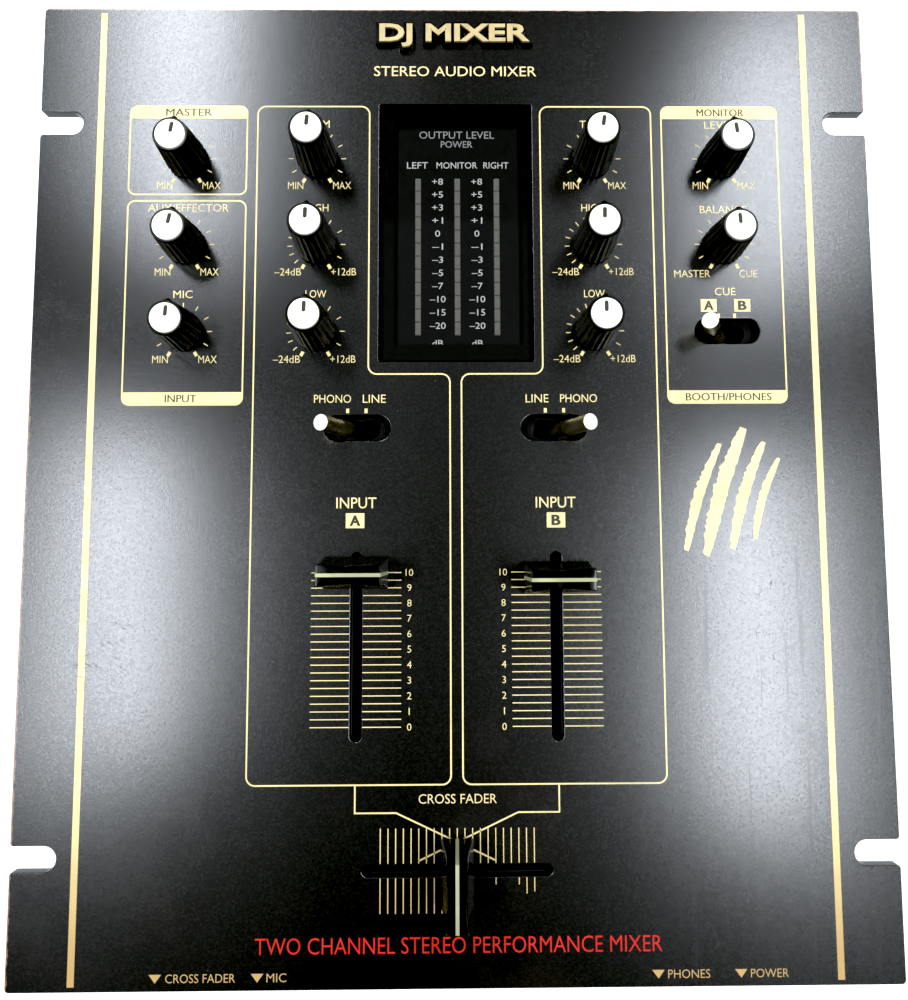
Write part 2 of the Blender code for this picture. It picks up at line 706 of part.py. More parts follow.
def make_rca_sockets(build, block_material, sleeve_material):
    """The plastic block fills a window in the rear panel; the sleeves stand on a common plate."""
    half_x, half_z = rca_block_half_size()
    block_rear = CHASSIS_HALF_DEPTH + GAP + SHEET
    bm = bmesh.new()
    add_box(
        bm,
        (RCA_CENTRE_X - half_x, block_rear - 14 * MM, REAR_ROW_Z - half_z),
        (RCA_CENTRE_X + half_x, block_rear, REAR_ROW_Z + half_z),
    )
    build.solid("rca_block", bm, block_material)

    plate_low = block_rear + GAP
    plate_high = plate_low + 0.6 * MM
    plate = bmesh.new()
    add_box(
        plate,
        (RCA_CENTRE_X - half_x + 1 * MM, plate_low, REAR_ROW_Z - half_z + 1 * MM),
        (RCA_CENTRE_X + half_x - 1 * MM, plate_high, REAR_ROW_Z + half_z - 1 * MM),
    )
    sleeves = build.solid("rca_sleeves", plate, sleeve_material)
    tubes = bmesh.new()
    pins = bmesh.new()
    for column in range(RCA_COLUMNS):
        x = RCA_CENTRE_X + (column - (RCA_COLUMNS - 1) / 2) * RCA_PITCH[0]
        for row in (-0.5, 0.5):
            centre = (x, 0, REAR_ROW_Z + row * RCA_PITCH[1])
            far = plate_high + RCA_PROUD - 0.6 * MM
            add_cylinder(tubes, centre, 4.15 * MM, plate_low + 0.2 * MM, far, "Y", segments=12)
            add_cylinder(pins, centre, 1.6 * MM, far - 3 * MM, far + 1 * MM, "Y", segments=6)
    build.boolean(sleeves, tubes, "UNION")
    build.boolean(sleeves, pins)


def make_mains_inlet(build, material):
    """A moulded two-pin inlet with its mouth towards the rear."""
    half_w, half_h = INLET_SIZE[0] / 2, INLET_SIZE[1] / 2
    rear = CHASSIS_HALF_DEPTH + GAP + SHEET + 1.5 * MM
    bm = bmesh.new()
    add_box(
        bm,
        (INLET_X - half_w, rear - 18 * MM, REAR_ROW_Z - half_h),
        (INLET_X + half_w, rear, REAR_ROW_Z + half_h),
    )
    inlet = build.solid("mains_inlet", bm, material)
    cavity = bmesh.new()
    half_w, half_h = INLET_CAVITY[0] / 2, INLET_CAVITY[1] / 2
    add_box(
        cavity,
        (INLET_X - half_w, rear - INLET_CAVITY[2], REAR_ROW_Z - half_h),
        (INLET_X + half_w, rear + 2 * MM, REAR_ROW_Z + half_h),
    )
    build.boolean(inlet, cavity)


def make_earth_terminal(build, material):
    """A knurled-nut terminal for the record players' earth wires."""
    rear = CHASSIS_HALF_DEPTH + GAP + SHEET + GAP
    bm = bmesh.new()
    centre = (EARTH_X, 0, REAR_ROW_Z)
    add_cylinder(bm, centre, 1.9 * MM, CHASSIS_HALF_DEPTH - 8 * MM, rear + 0.5 * MM, "Y", segments=12)
    terminal = build.solid("earth_terminal", bm, material)
    head = bmesh.new()
    add_cylinder(head, centre, 4 * MM, rear, rear + 4.6 * MM, "Y", segments=16)
    build.boolean(terminal, head, "UNION")


def make_control_board(build, material):
    """The upper board with the potentiometer cases, toggle switch cases and its four posts."""
    bm = bmesh.new()
    top = CONTROL_BOARD_Z + BOARD
    add_box(bm, (-98 * MM, 0, CONTROL_BOARD_Z), (98 * MM, 122 * MM, top))
    board = build.solid("control_board", bm, material)
    cases = bmesh.new()
    for _, x, y, _ in KNOBS:
        half = 6 * MM
        add_box(cases, (x - half, y - half, top - 0.5 * MM), (x + half, y + half, top + 10 * MM))
    for _, x, y, _ in TOGGLES:
        half_w, half_d = 9 * MM, 5.5 * MM
        case_top = TOGGLE_PIVOT_Z - TOGGLE_BALL_RADIUS - 0.5 * MM
        add_box(cases, (x - half_w, y - half_d, top - 0.5 * MM), (x + half_w, y + half_d, case_top))
    for x in (-94 * MM, 94 * MM):
        for y in (4 * MM, 117 * MM):
            add_cylinder(cases, (x, y, 0), 2.5 * MM, top - 0.5 * MM, WALL_TOP, segments=8)
    build.boolean(board, cases, "UNION")
    bushings = bmesh.new()
    for _, x, y, _ in KNOBS:
        add_cylinder(bushings, (x, y, 0), BUSHING_RADIUS, top + 9 * MM, WALL_TOP, segments=12)
    build.boolean(board, bushings, "UNION")
    bores = bmesh.new()
    for _, x, y, _ in KNOBS:
        bore_low = PLATE_TOP - SHAFT_DEPTH - 0.5 * MM
        add_cylinder(bores, (x, y, 0), SHAFT_RADIUS + 0.4 * MM, bore_low, PLATE_TOP, segments=12)
    build.boolean(board, bores)


def make_main_board(build, material):
    """The lower board on short posts, with its larger components."""
    top = MAIN_BOARD_Z + BOARD
    bm = bmesh.new()
    add_box(bm, (-100 * MM, -40 * MM, MAIN_BOARD_Z), (100 * MM, 120 * MM, top))
    board = build.solid("main_board", bm, material)
    extras = bmesh.new()
    for x in (-94 * MM, 94 * MM):
        for y in (-34 * MM, 100 * MM):
            low, high = TRAY_FLOOR + GAP, MAIN_BOARD_Z + 0.5 * MM
            add_cylinder(extras, (x, y, 0), 3 * MM, low, high, segments=8)
    for x, y, radius, height in (
        (66 * MM, -20 * MM, 9 * MM, 26 * MM),
        (40 * MM, -20 * MM, 9 * MM, 26 * MM),
        (18 * MM, -24 * MM, 5 * MM, 14 * MM),
    ):
        add_cylinder(extras, (x, y, 0), radius, top - 0.5 * MM, top + height, segments=16)
    add_box(extras, (-70 * MM, -30 * MM, top - 0.5 * MM), (-30 * MM, -22 * MM, top + 22 * MM))
    for column in range(4):
        x = (column * 36 - 66) * MM
        add_box(extras, (x, 40 * MM, top - 0.5 * MM), (x + 20 * MM, 47 * MM, top + 4 * MM))
    build.boolean(board, extras, "UNION")


def make_transformer(build, material):
    """A laminated mains transformer standing on the tray floor, behind the headphone socket."""
    x, y = TRANSFORMER_CENTRE
    floor = TRAY_FLOOR + GAP
    bm = bmesh.new()
    add_box(bm, (x - 28 * MM, y - 17 * MM, floor), (x + 28 * MM, y + 17 * MM, floor + 40 * MM))
    transformer = build.solid("mains_transformer", bm, material)
    coil = bmesh.new()
    coil_low, coil_high = floor + 6 * MM, floor + 34 * MM
    add_box(coil, (x - 16 * MM, y - 25 * MM, coil_low), (x + 16 * MM, y + 25 * MM, coil_high))
    build.boolean(transformer, coil, "UNION")
    lugs = bmesh.new()
    add_box(lugs, (x - 38 * MM, y - 7 * MM, floor), (x + 38 * MM, y + 7 * MM, floor + 1.5 * MM))
    build.boolean(transformer, lugs, "UNION")


def main():
    clear_scene()
    build = Builder()
    plate_paint = new_material("plate_paint", (0.012, 0.012, 0.013), 0.35)
    chassis_paint = new_material("chassis_paint", (0.014, 0.014, 0.015), 0.5)
    gloss_black = new_material("gloss_black", (0.010, 0.010, 0.011), 0.18)
    cap_black = new_material("cap_black", (0.010, 0.010, 0.012), 0.2)
    ivory = new_material("ivory", (0.80, 0.76, 0.62), 0.3)
    smoked = new_material("smoked_acrylic", (0.015, 0.012, 0.012), 0.05)
    meter_grey = new_material("meter_grey", (0.25, 0.25, 0.24), 0.4)
    board_green = new_material("board_green", (0.04, 0.12, 0.05), 0.5)
    pale_gold = new_material("pale_gold", (0.72, 0.58, 0.33), 0.35, 0.9)
    chrome = new_material("satin_chrome", (0.78, 0.78, 0.76), 0.2, 1.0)
    steel = new_material("plated_steel", (0.55, 0.55, 0.53), 0.4, 1.0)
    felt = new_material("black_felt", (0.015, 0.015, 0.015), 0.95)
    rubber = new_material("rubber", (0.02, 0.02, 0.02), 0.8)
    moulded = new_material("moulded_black", (0.018, 0.018, 0.018), 0.45)
    lamination = new_material("lamination", (0.20, 0.17, 0.14), 0.6, 0.6)

    make_top_plate(build, plate_paint)
    make_chassis_tray(build, chassis_paint)
    make_panel(build, "front_panel", chassis_paint, -1, front_holes())
    make_panel(build, "rear_panel", chassis_paint, 1, rear_holes())
    make_feet(build, rubber)
    make_display(build, smoked, board_green, meter_grey)
    make_badge(build, pale_gold)
    make_knobs(build, gloss_black, ivory)
    make_toggles(build, chrome, felt)
    make_faders(build, cap_black, steel, steel)
    make_front_jack(build, "mic_jack", MIC_JACK_X, moulded)
    make_front_jack(build, "phones_jack", PHONES_JACK_X, moulded)
    make_power_button(build, moulded)
    make_reverse_switch(build, moulded)
    make_rca_sockets(build, moulded, steel)
    make_mains_inlet(build, moulded)
    make_earth_terminal(build, steel)
    make_control_board(build, board_green)
    make_main_board(build, board_green)
    make_transformer(build, lamination)


main()
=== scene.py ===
import json
import math
import random

import bmesh
import bpy
from mathutils import Matrix, Vector


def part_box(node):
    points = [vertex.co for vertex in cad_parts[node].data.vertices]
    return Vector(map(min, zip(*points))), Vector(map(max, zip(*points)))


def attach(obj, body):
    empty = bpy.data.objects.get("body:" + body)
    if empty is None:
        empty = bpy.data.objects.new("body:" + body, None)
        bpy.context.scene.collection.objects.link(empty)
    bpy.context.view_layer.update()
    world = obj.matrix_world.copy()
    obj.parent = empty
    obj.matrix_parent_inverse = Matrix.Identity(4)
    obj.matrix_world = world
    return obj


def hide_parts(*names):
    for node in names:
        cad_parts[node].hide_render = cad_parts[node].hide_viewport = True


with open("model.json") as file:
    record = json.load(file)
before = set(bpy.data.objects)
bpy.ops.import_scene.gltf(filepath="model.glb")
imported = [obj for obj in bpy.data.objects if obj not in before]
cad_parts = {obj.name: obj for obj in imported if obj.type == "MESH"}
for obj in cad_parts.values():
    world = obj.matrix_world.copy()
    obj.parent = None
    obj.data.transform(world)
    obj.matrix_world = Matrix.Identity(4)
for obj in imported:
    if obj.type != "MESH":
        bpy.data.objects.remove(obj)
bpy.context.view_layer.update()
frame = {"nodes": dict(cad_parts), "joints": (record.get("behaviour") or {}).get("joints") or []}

MM = 0.001  # sizes and places are in millimetres, and become metres where a mesh or light is made


# ---------------------------------------------------------------- places read from the frame
class Box:
    """The box of a CAD node."""

    def __init__(self, node):
        self.low, self.high = (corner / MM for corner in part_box(node))
        self.middle = (self.low + self.high) / 2
        self.size = self.high - self.low


plate, lens, badge, guide = (Box(n) for n in ("top_plate", "display_lens", "badge", "meter_light_guide"))
TOP, HALF_W, HALF_D = plate.high.z, plate.high.x, plate.high.y
FRONT, REAR = Box("front_panel").low.y, Box("rear_panel").high.y
BASE = Box("chassis_tray").low.z

# How far each knob is turned clockwise from its CAD rest position, in degrees
KNOB_TURNS = {
    "trim_a": 5, "high_a": 2, "low_a": 2, "trim_b": 9, "high_b": 1, "low_b": 0,
    "master_level": 10, "aux_level": 12, "mic_level": 5, "monitor_level": -7, "monitor_balance": -3,
}
knobs = {name: Box(f"insert_{name}") for name in KNOB_TURNS}
pivots = {joint["name"]: joint.get("pos_m") for joint in frame["joints"]}
toggles = {name: Vector(pivots[f"{name}_tilt"]) / MM for name in ("select_a", "select_b", "cue_select")}
faders = {name: Box(f"fader_housing_{name}").middle for name in ("channel_a", "channel_b", "cross")}


def at(x, y, z=0.0):
    return Matrix.Translation((x * MM, y * MM, z * MM))


# ---------------------------------------------------------------- node materials
M = {}


def dimmed(colour, share):
    return tuple(c * share for c in colour)


class Finish:
    """A Principled material, kept in M, whose textures are laid out in object space."""

    def __init__(self, name, colour, roughness, **sockets):
        self.material = M[name] = bpy.data.materials.new(name)
        self.material.use_nodes = True
        self.tree = self.material.node_tree
        self.tree.nodes.clear()
        self.shader = self.node("ShaderNodeBsdfPrincipled")
        out = self.node("ShaderNodeOutputMaterial")
        self.tree.links.new(self.shader.outputs[0], out.inputs[0])
        self.colour = (*colour, 1.0)
        self.shader.inputs["Base Color"].default_value = self.colour
        self.shader.inputs["Roughness"].default_value = roughness
        for key, value in sockets.items():
            self.shader.inputs[key.replace("_", " ")].default_value = value
        self.where = self.node("ShaderNodeTexCoord").outputs["Object"]
        self.normal = None

    def node(self, kind, inputs=(), **settings):
        node = self.tree.nodes.new(kind)
        for key, value in settings.items():
            setattr(node, key, value)
        for socket, value in inputs:
            if isinstance(value, bpy.types.NodeSocket):
                self.tree.links.new(value, node.inputs[socket])
            else:
                node.inputs[socket].default_value = value
        return node

    def noise(self, scale, detail, rough=0.5, stretch=None):
        where = self.where
        if stretch:
            where = self.node("ShaderNodeMapping", [("Vector", where), ("Scale", stretch)]).outputs[0]
        inputs = [("Vector", where), ("Scale", scale), ("Detail", detail), ("Roughness", rough)]
        return self.node("ShaderNodeTexNoise", inputs).outputs["Fac"]

    def cells(self, scale):
        inputs = [("Vector", self.where), ("Scale", scale)]
        return self.node("ShaderNodeTexVoronoi", inputs).outputs["Distance"]

    def axes(self):
        return self.node("ShaderNodeSeparateXYZ", [(0, self.where)]).outputs

    def remap(self, value, low, high, to_low=0.0, to_high=1.0):
        inputs = [("Value", value), ("From Min", low), ("From Max", high)]
        inputs += [("To Min", to_low), ("To Max", to_high)]
        return self.node("ShaderNodeMapRange", inputs, interpolation_type="SMOOTHSTEP").outputs[0]

    def between(self, axis, low, high):
        """Rises along an axis from 0 at low to 1 at high."""
        return self.remap(axis, low * MM, high * MM)

    def maths(self, operation, a, b):
        return self.node("ShaderNodeMath", [(0, a), (1, b)], operation=operation).outputs[0]

    def times(self, a, b):
        return self.maths("MULTIPLY", a, b)

    def tint(self, mask, colour):
        """Lays colour over what is there, where mask is high."""
        inputs = [(0, mask), (6, self.colour), (7, (*colour, 1.0))]
        self.colour = self.node("ShaderNodeMix", inputs, data_type="RGBA").outputs[2]
        self.tree.links.new(self.colour, self.shader.inputs["Base Color"])

    def mottle(self, colour, scale, detail, low, high, share=1.0, rough=0.5, stretch=None):
        """Lays share of colour in the patches where a noise is over low and high."""
        mask = self.remap(self.noise(scale, detail, rough, stretch), low, high)
        self.tint(self.times(mask, share) if share < 1 else mask, colour)

    def roughen(self, value):
        self.tree.links.new(value, self.shader.inputs["Roughness"])

    def uneven(self, scale, detail, to_low, to_high, low=0.3, high=0.7, rough=0.5):
        """Lets the roughness wander from to_low to to_high."""
        self.roughen(self.remap(self.noise(scale, detail, rough), low, high, to_low, to_high))

    def bump(self, height, distance, strength):
        inputs = [("Height", height), ("Distance", distance * MM), ("Strength", strength)]
        if self.normal is not None:
            inputs.append(("Normal", self.normal))
        self.normal = self.node("ShaderNodeBump", inputs).outputs[0]
        self.tree.links.new(self.normal, self.shader.inputs["Normal"])

    def grain(self, scale, detail, distance, strength, rough=0.5, stretch=None):
        self.bump(self.noise(scale, detail, rough, stretch), distance, strength)


def make_plate_paint():
    """Satin black baked paint: fine grain, handling smudges, dust, rub marks and worn edges."""
    f = Finish("plate_paint", (0.0010, 0.0010, 0.0009), 0.28)
    f.mottle((0.0018, 0.0017, 0.0014), 28, 3, 0.35, 0.75)
    f.mottle((0.0035, 0.0032, 0.0027), 1500, 2, 0.5, 0.68, 0.5, rough=0.7)
    smudge = f.times(f.remap(f.noise(16, 5, 0.65), 0.54, 0.76), 0.5)
    f.tint(smudge, (0.0052, 0.0042, 0.0028))
    dust = f.times(f.remap(f.cells(210), 0.045, 0.02), f.remap(f.noise(60, 1), 0.6, 0.66))
    f.tint(f.times(dust, 0.35), (0.16, 0.15, 0.14))

    x, y, z = f.axes()
    ragged = f.times(f.noise(420, 3, 0.7), 1.2 * MM)
    rear = f.between(f.maths("ADD", y, ragged), HALF_D - 0.05, HALF_D + 0.25)
    right = f.between(f.maths("ADD", x, ragged), HALF_W - 0.05, HALF_W + 0.2)
    left = f.between(f.maths("SUBTRACT", ragged, x), HALF_W - 0.1, HALF_W + 0.2)
    sides = f.maths("MAXIMUM", f.times(right, f.between(y, 98, 112)), f.times(left, f.between(y, 40, 10)))
    upper = f.between(z, TOP - 1.6, TOP - 0.8)
    f.tint(f.times(f.maths("MAXIMUM", rear, sides), upper), (0.20, 0.105, 0.06))

    rubbed = f.remap(f.noise(1, 4, 0.7, stretch=(420, 12, 1)), 0.55, 0.75)
    rubbed = f.times(f.times(rubbed, f.between(x, 58, 70)), f.between(y, -12, -26))
    dulled = f.times(f.maths("ADD", rubbed, smudge), 0.06)
    smear = f.remap(f.noise(9, 3, stretch=(1.6, 0.5, 1)), 0.3, 0.75, 0.245, 0.29)
    speckle = f.remap(f.noise(1500, 2, 0.7), 0.3, 0.7, -0.022, 0.022)
    f.roughen(f.maths("ADD", f.maths("ADD", smear, dulled), speckle))
    f.grain(1100, 2, 0.018, 0.6, rough=0.6)
    f.grain(2300, 2, 0.018, 1.0, rough=0.6)


def make_ink(name, colour, roughness=0.38, worn=0.5, painted_front_shade=None):
    """Screen-printed ink: slightly uneven, with pinholes, and with painted shade that darkens it towards
    the front.
    """
    f = Finish(name, colour, roughness, Specular_IOR_Level=0.25)
    f.mottle(dimmed(colour, 0.86), 90, 3, 0.4, 0.7)
    if painted_front_shade:
        # painted shade: the ink is darker towards the front of the plate
        f.tint(f.between(f.axes()[1], -88, -145), painted_front_shade)
    f.mottle(dimmed(colour, 0.35), 1500, 2, 0.71, 0.78, worn, rough=0.6)
    f.uneven(240, 2, roughness - 0.06, roughness + 0.08)
    f.grain(1400, 2, 0.01, 0.5, rough=0.6)


def make_plastic(name, colour, roughness, scuff=0.0, grain=0.0, specular=0.5):
    """Moulded plastic with faint flow marks, dust and rubbed patches."""
    f = Finish(name, colour, roughness, Specular_IOR_Level=specular)
    f.mottle(tuple(c * 1.5 + 0.0004 for c in colour), 120, 4, 0.45, 0.8, rough=0.6)
    dust = f.times(f.remap(f.cells(700), 0.10, 0.04), f.remap(f.noise(160, 1), 0.56, 0.66))
    f.tint(f.times(dust, 0.35), (0.2, 0.19, 0.17))
    f.uneven(300, 3, roughness, roughness + 0.1 + scuff, 0.3, 0.75, rough=0.65)
    f.grain(900, 3, 0.03 + grain, 0.35, rough=0.6)


def make_ivory():
    f = Finish("ivory", (0.76, 0.74, 0.62), 0.42, Specular_IOR_Level=0.35)
    f.mottle((0.70, 0.68, 0.54), 260, 3, 0.45, 0.75)
    f.mottle((0.45, 0.41, 0.31), 620, 4, 0.62, 0.8, 0.35, rough=0.7)
    f.uneven(500, 2, 0.33, 0.5)
    f.grain(1200, 2, 0.02, 0.4)


def make_satin_chrome():
    """Plated brass with fine turning marks round the shank and small pits."""
    f = Finish("satin_chrome", (0.58, 0.50, 0.32), 0.24, Metallic=1.0)
    turned = f.noise(1.0, 2, stretch=(60, 60, 9000))
    f.tint(f.remap(turned, 0.3, 0.7), (0.46, 0.39, 0.23))
    pits = f.times(f.remap(f.cells(900), 0.16, 0.08), f.remap(f.noise(300, 1), 0.5, 0.6))
    f.tint(pits, (0.26, 0.24, 0.2))
    f.uneven(200, 3, 0.2, 0.36, rough=0.6)
    f.bump(turned, 0.01, 0.4)


def make_bright_tip():
    """The lever's end disc, polished and then dulled by fingers."""
    f = Finish("bright_tip", (0.93, 0.90, 0.78), 0.5, Metallic=0.35)
    f.mottle((0.80, 0.77, 0.66), 500, 3, 0.4, 0.75, stretch=(1, 6, 1))
    f.mottle((0.40, 0.37, 0.30), 1500, 2, 0.66, 0.76, 0.4, rough=0.7)
    f.uneven(400, 2, 0.42, 0.6)
    f.grain(900, 2, 0.01, 0.4, stretch=(1, 6, 1))


def make_badge_gold():
    """Pale gold enamel, rubbed in small spots."""
    f = Finish("badge_gold", (0.41, 0.325, 0.155), 0.4, Metallic=0.15)
    f.mottle((0.35, 0.27, 0.125), 300, 3, 0.4, 0.7)
    f.mottle((0.20, 0.15, 0.08), 900, 3, 0.66, 0.78, 0.5, rough=0.7)
    f.uneven(260, 2, 0.32, 0.5)
    f.grain(1100, 2, 0.01, 0.4)


def make_plated_steel():
    f = Finish("plated_steel", (0.52, 0.52, 0.50), 0.3, Metallic=1.0)
    f.mottle((0.36, 0.36, 0.35), 130, 4, 0.4, 0.75, rough=0.6)
    f.mottle((0.2, 0.16, 0.12), 700, 3, 0.66, 0.76, 0.6, rough=0.7)
    f.uneven(240, 3, 0.22, 0.46)
    f.grain(800, 2, 0.01, 0.4)


def make_chassis_paint():
    """Fine-textured black powder coat on folded steel, with level scuffs and dust."""
    f = Finish("chassis_paint", (0.006, 0.006, 0.0065), 0.46)
    f.mottle((0.010, 0.010, 0.011), 18, 4, 0.4, 0.75, rough=0.6)
    f.mottle((0.06, 0.06, 0.058), 4, 2, 0.64, 0.74, 0.35, rough=0.6, stretch=(1, 1, 26))
    f.tint(f.times(f.remap(f.cells(260), 0.06, 0.02), 0.25), (0.14, 0.13, 0.12))
    f.uneven(30, 3, 0.4, 0.56)
    f.grain(1500, 2, 0.08, 0.6, rough=0.6)


def make_felt():
    f = Finish("felt", (0.004, 0.004, 0.0045), 0.95, Specular_IOR_Level=0.08, Sheen_Weight=0.04)
    f.mottle((0.022, 0.022, 0.023), 900, 4, 0.58, 0.75, rough=0.75)
    f.grain(2400, 4, 0.2, 0.8, rough=0.8, stretch=(1, 1.6, 1))


def make_rubber():
    f = Finish("rubber", (0.014, 0.014, 0.014), 0.75, Specular_IOR_Level=0.35)
    f.mottle((0.035, 0.034, 0.032), 120, 3, 0.45, 0.75)
    f.uneven(200, 3, 0.62, 0.88)
    f.grain(1300, 3, 0.07, 0.6, rough=0.6)


def make_board():
    """Green solder mask over copper tracks, with black component cases on the boards."""
    control_top, meter_under, meter_top = 67.8, 77.4, 79.2
    f = Finish("circuit_board", (0.012, 0.07, 0.028), 0.35)
    inputs = [("Vector", f.where), ("Scale", 160.0), ("Mortar Size", 0.03)]
    tracks = f.node("ShaderNodeTexBrick", inputs).outputs["Fac"]
    f.tint(f.remap(tracks, 0.2, 0.6), (0.03, 0.13, 0.05))
    f.tint(f.remap(f.cells(240), 0.2, 0.12), (0.35, 0.33, 0.28))
    z = f.axes()[2]
    below_meter = f.between(z, meter_under + 0.1, meter_under)
    cases = f.times(f.between(z, control_top, control_top + 0.2), below_meter)
    posts = f.between(z, meter_top, meter_top + 0.1)
    f.tint(f.maths("MAXIMUM", cases, posts), (0.004, 0.004, 0.004))
    f.uneven(300, 2, 0.28, 0.45)
    f.bump(tracks, 0.03, 0.5)


def make_lamination():
    """Edges of stacked transformer iron under varnish."""
    f = Finish("lamination", (0.10, 0.095, 0.09), 0.5, Metallic=0.6)
    sheets = f.noise(1.0, 1, stretch=(20, 20, 3600))
    f.tint(f.remap(sheets, 0.4, 0.6), (0.045, 0.04, 0.036))
    f.uneven(150, 2, 0.4, 0.62)
    f.bump(sheets, 0.06, 0.6)


def make_lens():
    """Smoked acrylic, clear enough to read the print behind it."""
    f = Finish("smoked_lens", (0.003, 0.003, 0.0035), 0.035, Alpha=0.30, Specular_IOR_Level=0.4)
    f.mottle((0.04, 0.04, 0.04), 700, 2, 0.72, 0.8, 0.4)
    f.uneven(160, 3, 0.02, 0.07, 0.35)
    f.grain(45, 1, 0.02, 0.3)


def make_screen_print(name, colour, glow, specular=0.4):
    """Reverse-printed screen behind the lens; glow is painted light that makes the unlit print shine
    through the smoked lens.
    """
    # painted light: an emission makes the print glow with no lamp behind it
    painted_glow = {"Emission_Color": (*colour, 1.0), "Emission_Strength": glow}
    f = Finish(name, colour, 0.6, Specular_IOR_Level=specular, **painted_glow)
    f.mottle(dimmed(colour, 0.86), 500, 3, 0.4, 0.7)
    f.uneven(400, 2, 0.5, 0.7)
    f.grain(1500, 2, 0.01, 0.3)


make_plate_paint()
# the gold ink carries painted shade towards the front
make_ink("gold_ink", (0.60, 0.49, 0.225), painted_front_shade=(0.34, 0.22, 0.085))
make_ink("scuff", (0.055, 0.05, 0.042), 0.55, 0.4)
make_ink("dark_ink", (0.022, 0.019, 0.012), worn=0.2)
make_ink("red_ink", (0.40, 0.016, 0.010))
make_ink("brush_ink", (0.58, 0.50, 0.26), 0.6, 0.6)
make_ink("pointer_fill", (0.016, 0.015, 0.010), 0.6, 0.3)
make_ink("white_ink", (0.55, 0.55, 0.52))
make_plastic("knob_black", (0.0008, 0.0008, 0.0009), 0.26, 0.06, specular=0.12)
make_plastic("cap_black", (0.0007, 0.0007, 0.0008), 0.14, 0.04, specular=0.18)
make_plastic("moulded_black", (0.012, 0.012, 0.012), 0.42, 0.1, 0.03)
make_plastic("cap_line", (0.24, 0.245, 0.13), 0.5, specular=0.2)
make_plastic("black_screw", (0.02, 0.02, 0.021), 0.3, 0.1, specular=0.7)
make_plastic("red_plastic", (0.42, 0.012, 0.010), 0.35, 0.05)
make_plastic("white_plastic", (0.62, 0.61, 0.57), 0.35, 0.05)
make_ivory()
make_satin_chrome()
make_bright_tip()
make_badge_gold()
make_plated_steel()
make_chassis_paint()
make_felt()
make_rubber()
make_board()
make_lamination()
make_lens()
make_screen_print("screen_black", (0.0005, 0.0005, 0.0006), 0.0, 0.15)
make_screen_print("screen_panel", (0.0035, 0.0035, 0.0037), 0.0, 0.2)
# painted light: these prints and the meter segments glow by emission
make_screen_print("screen_grey", (0.42, 0.42, 0.41), 0.4)
make_screen_print("screen_light", (0.62, 0.62, 0.60), 0.8)
make_screen_print("meter_grey", (0.19, 0.18, 0.16), 0.4)


# ---------------------------------------------------------------- flat outlines
def filleted(corners, steps=6):
    """A closed loop through corners (x, y, radius), each rounded by its radius."""
    loop = []
    for i, (x, y, radius) in enumerate(corners):
        here = Vector((x, y))
        back = (Vector(corners[i - 1][:2]) - here).normalized()
        ahead = (Vector(corners[(i + 1) % len(corners)][:2]) - here).normalized()
        if radius <= 0:
            loop.append(here)
            continue
        half = back.angle(ahead) / 2
        centre = here + (back + ahead).normalized() * (radius / math.sin(half))
        start = here + back * (radius / math.tan(half)) - centre
        end = here + ahead * (radius / math.tan(half)) - centre
        turn = math.atan2(start.x * end.y - start.y * end.x, start.dot(end))
        for k in range(steps + 1):
            loop.append(centre + Matrix.Rotation(turn * k / steps, 2) @ start)
    return loop


def offset(before, after, distance):
    """The step from a corner between two directions that keeps distance to its left."""
    a, b = Vector((-before.y, before.x)), Vector((-after.y, after.x))
    return (a + b) * (distance / max(0.2, 1 + a.dot(b)))


def inset(loop, distance):
    """loop moved inwards by distance; loop runs counterclockwise."""
    moved = []
    for i, point in enumerate(loop):
        before = (point - loop[i - 1]).normalized()
        after = (loop[(i + 1) % len(loop)] - point).normalized()
        moved.append(point + offset(before, after, distance))
    return moved


def rectangle(x, y, width, height, radius=0.0, steps=6):
    w, h = width / 2, height / 2
    corners = ((x - w, y - h), (x + w, y - h), (x + w, y + h), (x - w, y + h))
    return filleted([(*c, radius) for c in corners], steps)


def stadium(x, y, width, height, steps=14):
    return rectangle(x, y, width, height, min(width, height) / 2 * 0.9999, steps)


def circle(x, y, radius, count):
    turns = (2 * math.pi * k / count for k in range(count))
    return [Vector((x + radius * math.cos(t), y + radius * math.sin(t))) for t in turns]


def stroke(points, width):
    """The outline of a line of that width through points."""
    points = [Vector(p) for p in points]
    runs = [(b - a).normalized() for a, b in zip(points, points[1:])]
    shifts = [offset(a, b, width / 2) for a, b in zip(runs[:1] + runs, runs + runs[-1:])]
    right = [point - shift for point, shift in zip(points, shifts)]
    left = [point + shift for point, shift in zip(points, shifts)]
    return right + left[::-1]


